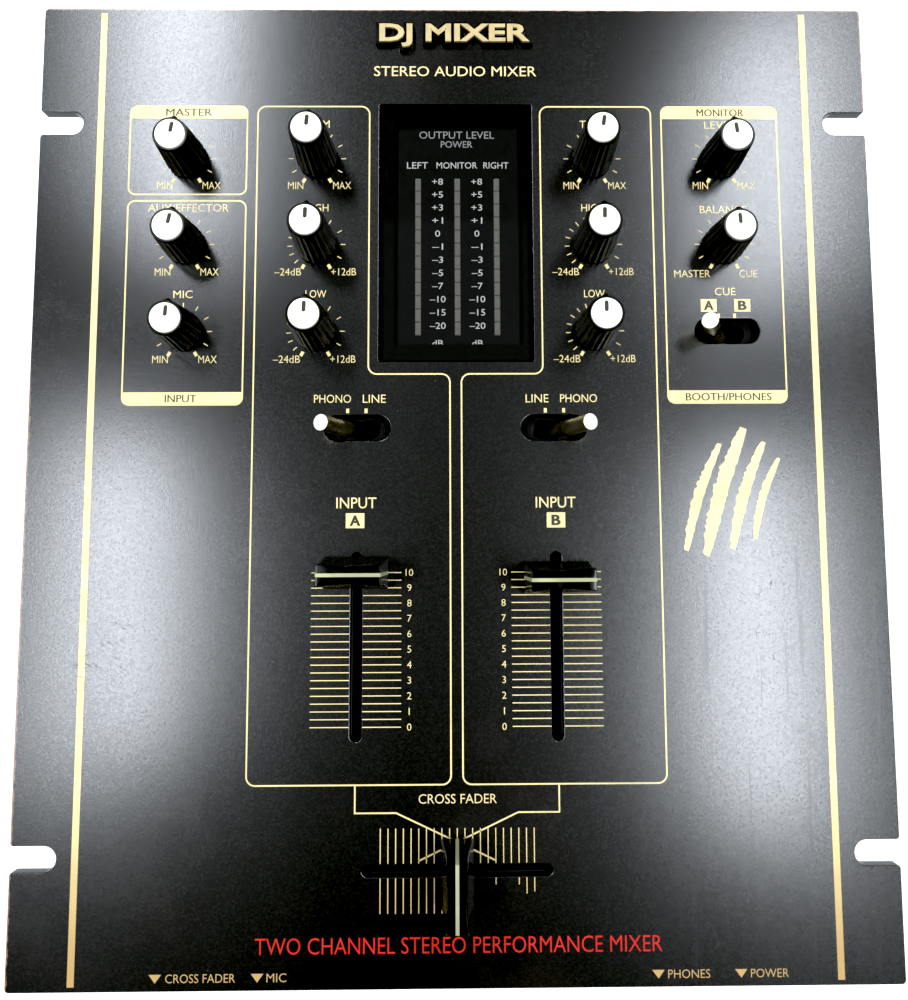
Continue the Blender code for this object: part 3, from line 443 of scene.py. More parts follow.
# ---------------------------------------------------------------- solids
class Shape:
    """A piece being built: closed shells gathered in one mesh, laid at place when it is done."""

    def __init__(self, place=None):
        self.bm = bmesh.new()
        self.place = place
        self.layer = 0
        self.flat = set()

    def ring(self, points):
        return [self.bm.verts.new([value * MM for value in point]) for point in points]

    def skin(self, lower, upper):
        count = len(lower)
        for i in range(count):
            j = (i + 1) % count
            face = self.bm.faces.new((lower[i], lower[j], upper[j], upper[i]))
            face.material_index = self.layer

    def tube(self, loops):
        """A closed solid through loops of equally many points."""
        rings = [self.ring(loop) for loop in loops]
        for lower, upper in zip(rings, rings[1:]):
            self.skin(lower, upper)
        self.bm.faces.new(rings[0][::-1])
        self.bm.faces.new(rings[-1])

    def slab(self, outer, holes, low, high, edge=0.0, steps=2):
        """A flat plate with holes; its upper edges are rounded by edge."""
        bottom, top = [], []
        for loop, side in [(outer, 1)] + [(hole, -1) for hole in holes]:
            rings = [self.ring([(p.x, p.y, low) for p in loop])]
            levels = [(0.0, high)]
            if edge:
                turns = [math.pi / 2 * k / steps for k in range(steps + 1)]
                levels = [(edge * (1 - math.cos(t)), high - edge * (1 - math.sin(t))) for t in turns]
            for distance, z in levels:
                moved = inset(loop, side * distance) if distance else loop
                rings.append(self.ring([(p.x, p.y, z) for p in moved]))
            for lower, upper in zip(rings, rings[1:]):
                self.skin(lower, upper)
            for ring, edges in ((rings[0], bottom), (rings[-1], top)):
                edges += [self.bm.edges.get((ring[i - 1], ring[i])) for i in range(len(ring))]
        for edges in (bottom, top):
            filled = bmesh.ops.triangle_fill(self.bm, edges=edges, use_beauty=True)
            for item in filled["geom"]:
                if isinstance(item, bmesh.types.BMFace):
                    item.material_index = self.layer
                    self.flat.add(item)

    def turned(self, profile, steps, radius_at=None):
        """A solid of revolution about Z; the profile runs from the axis back to the axis."""
        rings = []
        for radius, z in profile:
            if radius == 0:
                rings.append(self.ring([(0, 0, z)]))
                continue
            points = []
            for k in range(steps):
                turn = 2 * math.pi * k / steps
                reach = radius_at(turn, radius, z) if radius_at else radius
                points.append((reach * math.cos(turn), reach * math.sin(turn), z))
            rings.append(self.ring(points))
        faces = []
        for lower, upper in zip(rings, rings[1:]):
            for i in range(steps):
                j = (i + 1) % steps
                if len(lower) == 1:
                    corners = (lower[0], upper[j], upper[i])
                elif len(upper) == 1:
                    corners = (lower[i], lower[j], upper[0])
                else:
                    corners = (lower[i], lower[j], upper[j], upper[i])
                faces.append(self.bm.faces.new(corners))
        return faces

    def box(self, low, high, edge=0.0):
        low, high = Vector(low) * MM, Vector(high) * MM
        place = Matrix.Translation((low + high) / 2) @ Matrix.Diagonal((*(high - low), 1))
        made = bmesh.ops.create_cube(self.bm, size=1, matrix=place)
        if edge:
            edges = list({e for v in made["verts"] for e in v.link_edges})
            bmesh.ops.bevel(
                self.bm, geom=edges, offset=edge * MM, segments=3, profile=0.5, affect="EDGES",
                material=-1,
            )

    def words(self, text, x, y, width, height, low, high, bold=0.0):
        """Lettering fitted into width x height round (x, y).

        A width of None keeps the letters' own proportions, and bold grows them before the fit.
        """
        curve = bpy.data.curves.new("words", "FONT")
        curve.body = text
        curve.resolution_u = 3
        curve.offset = bold
        curve.extrude = 0.5
        obj = bpy.data.objects.new("words", curve)
        bpy.context.scene.collection.objects.link(obj)
        bpy.context.view_layer.update()
        mesh = bpy.data.meshes.new_from_object(obj.evaluated_get(bpy.context.evaluated_depsgraph_get()))
        bpy.data.objects.remove(obj)
        bpy.data.curves.remove(curve)
        xs = [v.co.x for v in mesh.vertices]
        ys = [v.co.y for v in mesh.vertices]
        middle = Vector(((min(xs) + max(xs)) / 2, (min(ys) + max(ys)) / 2, 0))
        tall = height * MM / (max(ys) - min(ys))
        wide = width * MM / (max(xs) - min(xs)) if width else tall
        scale = Matrix.Diagonal((wide, tall, (high - low) * MM, 1))
        mesh.transform(at(x, y, (low + high) / 2) @ scale @ Matrix.Translation(-middle))
        start = len(self.bm.verts)
        self.bm.from_mesh(mesh)
        bpy.data.meshes.remove(mesh)
        self.bm.verts.ensure_lookup_table()
        bmesh.ops.remove_doubles(self.bm, verts=self.bm.verts[start:], dist=0.0001 * MM)

    def placed(self, place, build, *args):
        """Runs one building call and moves only what it added."""
        before = set(self.bm.verts)
        build(*args)
        added = [v for v in self.bm.verts if v not in before]
        bmesh.ops.transform(self.bm, matrix=place, verts=added)

    def piece(self, name, finishes, body="mixer", slot=None, replaces=(), smooth=30):
        """Turns the gathered shells into an object that rides on a CAD body.

        finishes names the material of each layer, and smooth is the sharpest angle shaded as round.
        """
        if self.place is not None:
            bmesh.ops.transform(self.bm, matrix=self.place, verts=self.bm.verts)
        bmesh.ops.recalc_face_normals(self.bm, faces=self.bm.faces)
        for face in self.bm.faces:
            face.smooth = face not in self.flat
        for edge in self.bm.edges:
            edge.smooth = edge.calc_face_angle(0) < math.radians(smooth)
        mesh = bpy.data.meshes.new(name)
        self.bm.to_mesh(mesh)
        self.bm.free()
        for finish in finishes.split():
            mesh.materials.append(M[finish])
        obj = bpy.data.objects.new(name, mesh)
        bpy.context.scene.collection.objects.link(obj)
        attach(obj, body)
        if replaces:
            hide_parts(*replaces)


# ---------------------------------------------------------------- the painted top plate
EAR_SLOT_ROWS = (-112, 111)
EAR_SLOT_RADIUS = 3.7
EAR_SLOT_END = 116.6
MOUTH_RADIUS = 1.0
PLATE_CORNER = 1.3
KNOB_HOLE_RADIUS = 4.2
TOGGLE_SLOT = (20.1, 7.9)
FADER_SLOT = (55.6, 3.3)
LENS_GAP = 0.25


def plate_outline():
    """Counterclockwise from the front left corner, with two open slots in each side."""
    slot_radius = 0.999 * EAR_SLOT_RADIUS
    points = [(-HALF_W, -HALF_D, PLATE_CORNER), (HALF_W, -HALF_D, PLATE_CORNER)]
    for side in (1, -1):
        for y in EAR_SLOT_ROWS[::side]:
            for dy, x, radius in ((-1, HALF_W, MOUTH_RADIUS), (-1, EAR_SLOT_END, slot_radius),
                                  (1, EAR_SLOT_END, slot_radius), (1, HALF_W, MOUTH_RADIUS)):
                points.append((side * x, y + side * dy * EAR_SLOT_RADIUS, radius))
        if side == 1:
            points += [(HALF_W, HALF_D, PLATE_CORNER), (-HALF_W, HALF_D, PLATE_CORNER)]
    return filleted(points, 8)


def make_plate():
    window = (lens.size.x + 2 * LENS_GAP, lens.size.y + 2 * LENS_GAP)
    holes = [rectangle(lens.middle.x, lens.middle.y, *window, 0.5)]
    holes += [circle(knob.middle.x, knob.middle.y, KNOB_HOLE_RADIUS, 32) for knob in knobs.values()]
    holes += [stadium(pivot.x, pivot.y, *TOGGLE_SLOT) for pivot in toggles.values()]
    for name, fader in faders.items():
        holes.append(stadium(fader.x, fader.y, *(FADER_SLOT if name == "cross" else FADER_SLOT[::-1])))
    shape = Shape()
    shape.slab(plate_outline(), holes, plate.low.z, TOP, 0.3, 3)
    shape.piece("top_plate_painted", "plate_paint", slot="plate_paint", replaces=["top_plate"], smooth=35)


# ---------------------------------------------------------------- print on the plate
INK = (TOP - 0.01, TOP + 0.03)
OVER_INK = (TOP + 0.02, TOP + 0.045)
LINE = 0.46
SCALE_LINE = 0.28
THIN = -0.006  # offset that slims the letters' strokes
BOLD = 0.03


def add_bar(shape, x, y, width, height):
    shape.slab(rectangle(x, y, width, height), (), *INK)


def add_frame(shape, corners):
    """A printed line along a closed path of corners (x, y, radius)."""
    path = filleted(corners, 8)
    shape.slab(inset(path, -LINE / 2), [inset(path, LINE / 2)], *INK)


def mirrored(corners):
    return [(-x, *rest) for x, *rest in corners][::-1]


def print_strips():
    shape = Shape()
    for side in (-1, 1):
        add_bar(shape, side * 111.1, 0, 2.0, 294.9)
    shape.piece("print_side_strips", "gold_ink")


def print_frames():
    """Frames round the channels and the knob groups, with filled title bands, and the crossfader's."""
    shape = Shape()
    channel = [(x, y, 2.6) for x, y in (
        (-61.9, -91.7), (-1.76, -91.7), (-1.76, 30.8), (-26.8, 30.8), (-26.8, 116.5), (-61.9, 116.5),
    )]
    add_frame(shape, channel)
    add_frame(shape, mirrored(channel))
    step = 0.004  # keeps overlapping prints from sharing a face
    for x0, x1, y0, y1, bands in (
        (-101.8, -65.2, 87.8, 116.5, ("top",)),
        (-101.8, -65.2, 21.4, 85.7, ("bottom",)),
        (65.2, 101.8, 21.6, 116.5, ("top", "bottom")),
    ):
        add_frame(shape, [(x, y, 2.2) for x, y in ((x0, y0), (x1, y0), (x1, y1), (x0, y1))])
        left, right, low, high = x0 + 0.3, x1 - 0.3, y0 + 0.3, y1 - 0.3
        for band in bands:
            if band == "top":
                corners = ((left, y1 - 4.0, 0), (right, y1 - 4.0, 0), (right, high, 1.8), (left, high, 1.8))
            else:
                corners = ((left, low, 1.8), (right, low, 1.8), (right, y0 + 3.9, 0), (left, y0 + 3.9, 0))
            shape.slab(filleted(corners), (), INK[0], INK[1] - step)
    for side in (-1, 1):
        path = [(side * x, y) for x, y in ((-30, -91.9), (-30, -99.7), (-17.9, -99.7), (11.3, -113.3))]
        outline = stroke(path, LINE)
        shape.slab(outline[::-side], (), INK[0], INK[1] + (step if side > 0 else 0))
    shape.piece("print_frames", "gold_ink")


def add_tick(shape, centre, turn, near, far, width):
    """A radial mark; turn is clockwise from 12 o'clock in degrees."""
    angle = math.radians(90 - turn)
    along = Vector((math.cos(angle), math.sin(angle)))
    across = Vector((-along.y, along.x)) * width / 2
    near, far = centre.xy + along * near, centre.xy + along * far
    shape.slab([near + across, near - across, far - across, far + across], (), *INK)


def print_knob_scales():
    shape = Shape()
    for name, knob in knobs.items():
        turns = [30 * k for k in range(-4, 5)]
        if name.startswith(("high", "low")):
            turns = [-18.75 * k for k in range(8)] + [30 * k for k in range(1, 5)]
        for turn in turns:
            add_tick(shape, knob.middle, turn, 7.5, 9.0, 0.3)
        for turn in (-150, 150):
            add_tick(shape, knob.middle, turn, 7.4, 8.9, 1.0)
    for x, y in ((-33.0, 19.4), (-27.4, 19.4), (27.4, 19.4), (33.0, 19.4), (81.5, 48.9), (86.5, 48.9)):
        add_bar(shape, x, y, 0.9, 1.4)
    shape.piece("print_knob_scales", "gold_ink")


def print_fader_scales():
    """Lines on both sides of each fader slot; the crossfader's front right ones are worn away."""
    shape = Shape()
    marks = 21
    for side, name in ((-1, "channel_a"), (1, "channel_b")):
        fader = faders[name]
        for k in range(marks):
            y = fader.y + 21.9 - k * 2.27
            for middle in (-7.75, 7.75):
                add_bar(shape, fader.x + middle, y, 11.5, SCALE_LINE)
            if k % 2 == 0:
                shape.words(str(10 - k // 2), side * 14.1, y, None, 2.05, *INK, THIN)
    worn = random.Random(4)
    fader = faders["cross"]
    for k in range(marks):
        x = fader.x + (k - (marks - 1) / 2) * 2.25
        kept = 9.9
        if x > 2:
            kept *= worn.uniform(0.0, 0.5) if x > 6 else 0.8
        if kept >= 1.5:
            add_bar(shape, x, fader.y - 1.9 - kept / 2, SCALE_LINE, kept)
        add_bar(shape, x, fader.y + 7.15, SCALE_LINE, 9.9)
    shape.piece("print_fader_scales", "gold_ink")


def print_labels():
    shape = Shape()

    def write(text, x, y, width, height=2.4, bold=THIN):
        shape.words(text, x, y, width, height, *INK, bold)

    for group in ("a", "b"):
        for name, title, rise, width in (
            ("trim", "TRIM", 11.3, 7.4), ("high", "HIGH", 11.8, 7.2), ("low", "LOW", 11.8, 6.4),
        ):
            knob = knobs[f"{name}_{group}"].middle
            write(title, knob.x, knob.y + rise, width)
            if name != "trim":
                write("–24dB", knob.x - 8.8, knob.y - 8.7, 8.3, 2.3)
                write("+12dB", knob.x + 8.5, knob.y - 8.7, 7.7, 2.3)
    for name in ("trim_a", "trim_b", "master_level", "aux_level", "mic_level", "monitor_level"):
        knob = knobs[name].middle
        write("MIN", knob.x - 6.7, knob.y - 8.7, 4.8, 2.3)
        write("MAX", knob.x + 7.8, knob.y - 8.7, 5.6, 2.3)
    knob = knobs["monitor_balance"].middle
    write("MASTER", knob.x - 10.1, knob.y - 9.4, 11.2, 2.3)
    write("CUE", knob.x + 7.4, knob.y - 9.4, 5.6, 2.3)
    write("LEVEL", 83.8, 110.5, 9.8)
    write("BALANCE", 84.0, 82.9, 14.6)
    write("AUX/EFFECTOR", -83.0, 83.45, 25.0)
    write("MIC", -84.0, 55.9, 5.9)
    write("CUE", 83.8, 56.6, 6.4)
    for side in (-1, 1):
        write("PHONO", side * 37.65, 23.15, 11.3, 2.5)
        write("LINE", side * 24.9, 23.15, 7.0, 2.5)
        write("INPUT", side * 30.15, -8.75, 12.1, 3.3, 0.0)
    write("STEREO AUDIO MIXER", 0.2, 128.25, 51.4, 3.3, 0.0)
    write("CROSS FADER", 0.15, -95.75, 22.9, 2.7)
    for x, text, start, end in (
        (-87.0, "CROSS FADER", -84, -64), (-57.7, "MIC", -55, -49.3),
        (58.0, "PHONES", 60.8, 73.0), (82.0, "POWER", 84.8, 95.8),
    ):
        write(text, (start + end) / 2, -145.35, end - start)
        arrow = ((x - 1.8, -144.2), (x, -146.6), (x + 1.8, -144.2))
        shape.slab([Vector(p) for p in arrow], (), *INK)
    # Boxed letters: letter, x, y, box width and height, letter width and height
    boxed = (
        ("A", -30.5, -14.1, 5.6, 4.5, 3.2, 3.2), ("B", 30.2, -14.1, 5.6, 4.6, 2.7, 3.2),
        ("A", 78.55, 52.2, 4.9, 4.0, 3.0, 3.0), ("B", 89.0, 52.2, 5.0, 4.0, 2.6, 3.0),
    )
    for _, x, y, width, height, *_ in boxed:
        add_bar(shape, x, y, width, height)
    shape.piece("print_labels", "gold_ink")

    shape = Shape()
    titles = [
        ("MASTER", -83.55, 114.55, 14.3, 2.35, THIN), ("INPUT", -83.95, 23.3, 9.5, 2.35, THIN),
        ("MONITOR", 84.0, 114.55, 14.8, 2.35, THIN), ("BOOTH/PHONES", 83.85, 23.5, 26.3, 2.35, THIN),
    ]
    titles += [(text, x, y, width, height, BOLD) for text, x, y, *_, width, height in boxed]
    for text, x, y, width, height, bold in titles:
        for shift, lift in ((-0.07, 0.0), (0.07, 0.003)):
            shape.words(text, x + shift, y, width, height, OVER_INK[0], OVER_INK[1] + lift, bold)
    shape.piece("print_dark_lettering", "dark_ink")

    shape = Shape()
    shape.words("TWO CHANNEL STEREO PERFORMANCE MIXER", 0.4, -136.8, 117.8, 4.6, *INK, THIN)
    shape.piece("print_red_line", "red_ink")


def print_brush_mark():
    """An abstract mark: slanted dry-brush slashes side by side, ragged along their edges."""
    shape = Shape()
    ragged = random.Random(11)
    steps = 44
    for x0, y0, x1, y1, thick in (
        (69.5, -23.5, 80.5, 9.0, 3.4), (75.5, -25.0, 88.0, 13.8, 5.0),
        (83.5, -23.0, 94.0, 9.5, 3.8), (90.5, -20.0, 98.5, 4.5, 2.6),
    ):
        start, end = Vector((x0, y0)), Vector((x1, y1))
        along = (end - start).normalized()
        across = Vector((-along.y, along.x))
        left, right = [], []
        for k in range(steps + 1):
            share = k / steps
            half = thick / 2 * math.sin(math.pi * (0.06 + 0.88 * share)) ** 0.5
            middle = start.lerp(end, share) + across * 1.4 * math.sin(math.pi * share)
            left.append(middle + across * half * ragged.uniform(0.66, 1.06))
            right.append(middle - across * half * ragged.uniform(0.86, 1.04))
        shape.slab(right + left[::-1], (), *INK)
    shape.piece("print_brush_mark", "brush_ink")


def add_scuffs():
    """Scratches through the print and paint: dark hairlines near the left and right strips."""
    shape = Shape()
    dice = random.Random(23)
    for x0, x1, y0, y1, lean, count in (
        (-113, -96, -62, -44, -0.5, 16), (-113, -109, -64, -52, 0.2, 9),
        (86, 98, -78, -30, 1.5, 9), (60, 100, -140, -100, 1.2, 8),
    ):
        for _ in range(count):
            centre = Vector((dice.uniform(x0, x1), dice.uniform(y0, y1)))
            turn = lean + dice.uniform(-0.35, 0.35)
            reach, half = dice.uniform(0.8, 4.2), dice.uniform(0.04, 0.13)
            along = Vector((math.cos(turn), math.sin(turn)))
            across = Vector((-along.y, along.x))
            middle = centre + across * dice.uniform(-0.2, 0.2)
            along *= reach / 2
            loop = [centre - along, middle - across * half, centre + along, middle + across * half]
            low = TOP + dice.uniform(0.046, 0.05)
            shape.slab(loop, (), low, low + 0.01)
    shape.piece("plate_scuffs", "scuff")


def make_badge():
    """Raised letters on a thicker dark backing of the same words."""
    x, y = badge.middle.xy
    wide, deep = badge.size.xy
    step = badge.high.z - 0.6
    shape = Shape()
    shape.words("DJ MIXER", x, y, wide - 0.4, deep - 0.2, TOP - 0.05, step, 0.075)
    shape.piece("badge_backing", "knob_black")
    shape = Shape()
    shape.words("DJ MIXER", x, y, wide - 2.6, deep - 2.0, step - 0.02, badge.high.z, BOLD)
    shape.piece("badge_letters", "badge_gold", slot="pale_gold", replaces=["badge"])


# ---------------------------------------------------------------- the level display
SCALE = ("+8", "+5", "+3", "+1", "0", "–1", "–3", "–5", "–7", "–10", "–15",
         "–20")
SCALE_X = (-5.6, 6.9)
SCALE_WIDTH = {1: 1.6, 2: 3.5, 3: 5.0}  # of a figure with so many signs
SEGMENTS = len(SCALE)
PITCH = (guide.high.y - guide.low.y) / (SEGMENTS + 1)
FIRST_BAR = guide.high.y - PITCH
COLUMNS = (guide.low.x + 3, guide.middle.x, guide.high.x - 3)
SCREEN_TOP = guide.high.z - 0.15


def windows(grow):
    """The outlines round the three columns of meter segments."""
    middle = FIRST_BAR - PITCH * (SEGMENTS - 1) / 2
    return [rectangle(x, middle, 2.0 + grow, PITCH * SEGMENTS + 0.1 + grow) for x in COLUMNS]


def make_screen():
    """Black mask, paler panel and dark border behind the lens."""
    x, y = lens.middle.xy
    wide, deep = lens.size.xy
    shape = Shape()
    shape.slab(rectangle(x, y, wide + 2, deep + 2, 0.5), windows(0), SCREEN_TOP - 0.6, SCREEN_TOP)
    shape.piece("display_mask", "screen_black")
    shape = Shape()
    shape.slab(rectangle(1.0, 77.0, 41.0, 74.0), windows(0.2), SCREEN_TOP - 0.01, SCREEN_TOP + 0.02)
    shape.piece("display_panel_tint", "screen_panel")
    shape = Shape()
    opening, window = rectangle(x, y, wide - 0.4, deep - 0.4, 0.4), rectangle(1.0, 76.9, 40.4, 72.4, 0.3)
    shape.slab(opening, [window], lens.low.z - 0.16, lens.low.z - 0.06)
    shape.piece("display_border", "screen_black")


def make_display():
    make_screen()
    ink = (SCREEN_TOP, SCREEN_TOP + 0.04)
    shape = Shape()
    shape.words("OUTPUT LEVEL", 0.6, 109.7, 24.0, 2.4, *ink)
    shape.words("POWER", 0.55, 106.6, 10.1, 2.2, *ink)
    shape.piece("display_heading", "screen_grey")

    shape = Shape()
    for text, x, width in (("LEFT", -12.0, 6.7), ("MONITOR", 0.6, 13.0), ("RIGHT", 13.1, 8.0)):
        shape.words(text, x, 99.6, width, 2.1, *ink)
    for k, text in enumerate(SCALE):
        for x in SCALE_X:
            shape.words(text, x, FIRST_BAR - k * PITCH + 1.0, SCALE_WIDTH[len(text)], 2.05, *ink)
    for x in SCALE_X:
        shape.words("dB", x, 41.6, 3.4, 2.0, *ink)
    shape.piece("display_lettering", "screen_light")

    shape = Shape()
    half_w, half_d = 0.85, PITCH / 2 - 0.17
    for x in COLUMNS:
        for k in range(SEGMENTS):
            y = FIRST_BAR - k * PITCH
            low, high = (x - half_w, y - half_d, guide.high.z - 3), (x + half_w, y + half_d, guide.high.z)
            shape.box(low, high, 0.08)
    shape.box(guide.low, (guide.high.x, guide.high.y, guide.high.z - 2.9))
    shape.piece("meter_segments", "meter_grey", slot="meter_grey", replaces=["meter_light_guide"])


# ---------------------------------------------------------------- knobs, levers and caps
RIBS = 24
SKIRT = 5.1  # the knob's radius from which its wall carries ribs and the pointer's nub


def knob_radius(height):
    """Scalloped sides between sharp ribs, and a pointer nub towards +Y."""

    def radius_at(turn, radius, z):
        if radius < SKIRT:
            return radius
        wall = max(0.0, min(1.0, (height - 1.0 - z) / 0.8))
        scallop = 0.22 * (abs(math.cos(RIBS * turn / 2)) ** 5 - 0.45) * wall
        if radius == SKIRT:
            return radius + scallop
        off = (turn - math.pi / 2 + math.pi) % (2 * math.pi) - math.pi
        nub = 0.7 / (1 + (off * radius / 0.8) ** 4)
        return radius + scallop + nub * min(1.0, max(0.0, (height - 0.25 - z) / 0.7))

    return radius_at


def make_knobs():
    """Each knob is a ribbed body, an ivory face and the dark fill of its pointer slot."""
    rows = 5
    slot = stadium(0, 2.05, 1.15, 3.2, 10)
    for name, knob in knobs.items():
        height = knob.high.z - TOP
        turn = Matrix.Rotation(-math.radians(KNOB_TURNS[name]), 4, "Z")
        place = at(knob.middle.x, knob.middle.y, TOP) @ turn
        sides = []
        for share in (k / rows for k in range(rows + 1)):
            sides.append((5.36 + 0.9 * share ** 1.1, (height - 1.9) * (1 - share) + 1.7 * share))
        profile = (
            (0, height - 1.5), (4.5, height - 1.5), (4.52, height - 0.45), (4.66, height - 0.25),
            (5.0, height - 0.25), (5.2, height - 0.45), (5.3, height - 0.9), (5.32, height - 1.2), *sides,
            (6.32, 1.1), (6.25, 0.8), (5.4, 0.8), (SKIRT, 3), (3, 3), (3, -9), (0, -9),
        )
        shape = Shape(place)
        shape.turned(profile, 216, knob_radius(height))
        shape.piece(f"knob_body_{name}", "knob_black", f"{name}_knob", "knob_black", [f"knob_{name}"], 32)
        shape = Shape(place)
        shape.slab(circle(0, 0, 4.42, 72), [slot], height - 1.2, height, 0.14, 3)
        shape.piece(f"knob_face_{name}", "ivory", f"{name}_knob", "ivory", [f"insert_{name}"], 35)
        shape = Shape(place)
        shape.slab(inset(slot, 0.02), (), height - 1.15, height - 0.22)
        shape.piece(f"knob_pointer_{name}", "pointer_fill", f"{name}_knob", smooth=35)


def make_toggles():
    """Turned levers with a polished end disc, leaning as their CAD levers do."""
    length, radius, edge, rounds, steps = 22.9, 2.45, 0.42, 4, 56
    profile = [(0, length)]
    for t in (math.pi / 2 * k / rounds for k in range(rounds + 1)):
        profile.append((radius - edge * (1 - math.sin(t)), length - edge * (1 - math.cos(t))))
    profile += [(radius, 12), (radius, 3), (3, 0), (2.15, -2), (0, -3)]
    for name, pivot in toggles.items():
        lean = math.copysign(math.radians(24), Box(f"lever_{name}").middle.x - pivot.x)
        shape = Shape(at(*pivot) @ Matrix.Rotation(lean, 4, "Y"))
        for face in shape.turned(profile, steps)[:steps * rounds]:
            face.material_index = 1
        shape.piece(f"toggle_lever_{name}", "satin_chrome bright_tip", f"{name}_toggle", "satin_chrome",
                    [f"lever_{name}"], 35)


def cap_loop(half_x, half_y, waist, z):
    """One level of a fader cap, with its long sides pulled in by waist at their middle."""
    loop = rectangle(0, 0, 2 * half_x, 2 * half_y, 0.55, 5)
    points = []
    for i, p in enumerate(loop):
        after = loop[(i + 1) % len(loop)]
        points.append(p)
        if abs(after.x - p.x) > half_x:
            points += [p.lerp(after, k / 12) for k in range(1, 12)]
    pulls = [waist * max(0.0, 1 - (p.x / half_x) ** 2) for p in points]
    return [(p.x, p.y - math.copysign(pull, p.y), z) for p, pull in zip(points, pulls)]


# Each level of a cap: half length, half width, waist and height over the plate
CAP_LEVELS = (
    (9.45, 4.55, 0.0, 1.2), (9.7, 4.8, 0.05, 1.45), (9.68, 4.7, 0.12, 2.6), (9.55, 4.15, 0.3, 5.5),
    (9.4, 3.55, 0.5, 9.0), (9.25, 3.2, 0.62, 12.5), (9.15, 3.1, 0.68, 15.0), (9.14, 3.3, 0.68, 16.5),
    (9.08, 3.26, 0.68, 16.9), (8.92, 3.08, 0.67, 17.15), (8.7, 2.86, 0.66, 17.22),
)
CAP_LINE_PATH = ((-9.73, 1.5), (-9.6, 5.5), (-9.3, 12.5), (-9.2, 16.7), (-9.05, 17.15), (-8.8, 17.3))
CAP_LINE = 0.5


def make_caps():
    """Waisted caps, each with a pale line inlaid over its top and down its ends."""
    path = [Vector(p) for p in (*CAP_LINE_PATH, *mirrored(CAP_LINE_PATH))]
    line = []
    for before, point, after in zip(path[:1] + path, path, path[1:] + path[-1:]):
        along = (after - before).normalized()
        inner = point + Vector((along.y, -along.x)) * 0.5
        line.append([(p.x, side * CAP_LINE, p.y) for p, side in
                     ((inner, -1), (inner, 1), (point, 1), (point, -1))])
    for name in faders:
        cap = Box(f"fader_cap_{name}").middle
        turn = Matrix.Rotation(math.pi / 2 if name == "cross" else 0, 4, "Z")
        place = at(cap.x, cap.y, TOP) @ turn
        body = "cross_fader" if name == "cross" else f"{name}_fader"
        shape = Shape(place)
        shape.tube([cap_loop(*level) for level in CAP_LEVELS])
        shape.piece(f"fader_knob_{name}", "cap_black", body, "cap_black", [f"fader_cap_{name}"], 32)
        shape = Shape(place)
        shape.tube(line)
        shape.piece(f"fader_line_{name}", "cap_line", body, smooth=32)


# ---------------------------------------------------------------- front, back and underside
def facing(side, x, y, z):
    """A place whose own Z points out of the front, the rear or the underside."""
    tilt, spin = {"front": (90, 0), "rear": (-90, 180), "under": (180, 0)}[side]
    turn = Matrix.Rotation(math.radians(tilt), 4, "X") @ Matrix.Rotation(math.radians(spin), 4, "Z")
    return at(x, y, z) @ turn


def fitting(node, side):
    """A node's box, its place on a panel, and its outer and inner ends measured out of that panel."""
    box = Box(node)
    panel = FRONT if side == "front" else REAR
    ends = (box.high.y - REAR, box.low.y - REAR)
    if side == "front":
        ends = (FRONT - box.low.y, FRONT - box.high.y)
    return box, facing(side, box.middle.x, panel, box.middle.z), *ends


def add_screw(shape, place, turn):
    """A pan head with a cross recess."""
    radius, height = 2.7, 1.4
    arm, half = radius * 0.6, radius * 0.13
    quarter = [Vector((arm, -half)), Vector((arm, half)), Vector((half, half))]
    cross = [Matrix.Rotation(math.pi / 2 * k, 2) @ p for k in range(4) for p in quarter]
    place = place @ Matrix.Rotation(turn, 4, "Z")
    head = circle(0, 0, radius, 32)
    shape.placed(place, shape.slab, head, [cross], 0.4 * height, height, 0.12, 2)
    shape.placed(place, shape.slab, head, (), -0.3, 0.42 * height)


def make_screws():
    dice = random.Random(7)
    shape = Shape()
    for side, y in (("front", FRONT), ("rear", REAR)):
        for x in (-104, 104):
            for z in (16, 78):
                add_screw(shape, facing(side, x, y, z), dice.uniform(0, 3))
    for x in (-101, 101):
        for y in (-100, 0, 100):
            add_screw(shape, facing("under", x, y, BASE), dice.uniform(0, 3))
    shape.piece("case_screws", "black_screw", smooth=35)


FEET = ("front_left", "front_right", "rear_left", "rear_right")


def make_feet():
    dice = random.Random(9)
    screws = Shape()
    for name in FEET:
        foot = Box(f"foot_{name}")
        radius, top, recess = foot.size.x / 2, foot.high.z, 3.2
        profile = (
            (0, recess), (3.3, recess), (3.5, 0.4), (4.0, 0.0), (radius - 1.9, 0.0), (radius - 1.5, 0.15),
            (radius - 1.3, 0.7), (radius - 0.3, top - 1.7), (radius, top - 1.2), (radius, top - 0.5),
            (radius - 0.3, top - 0.1), (radius - 0.5, top), (0, top),
        )
        shape = Shape(at(foot.middle.x, foot.middle.y))
        shape.turned(profile, 56)
        shape.piece(f"rubber_foot_{name}", "rubber", slot="rubber", replaces=[f"foot_{name}"], smooth=35)
        add_screw(screws, facing("under", foot.middle.x, foot.middle.y, recess), dice.uniform(0, 3))
    screws.piece("foot_screws", "plated_steel", smooth=35)


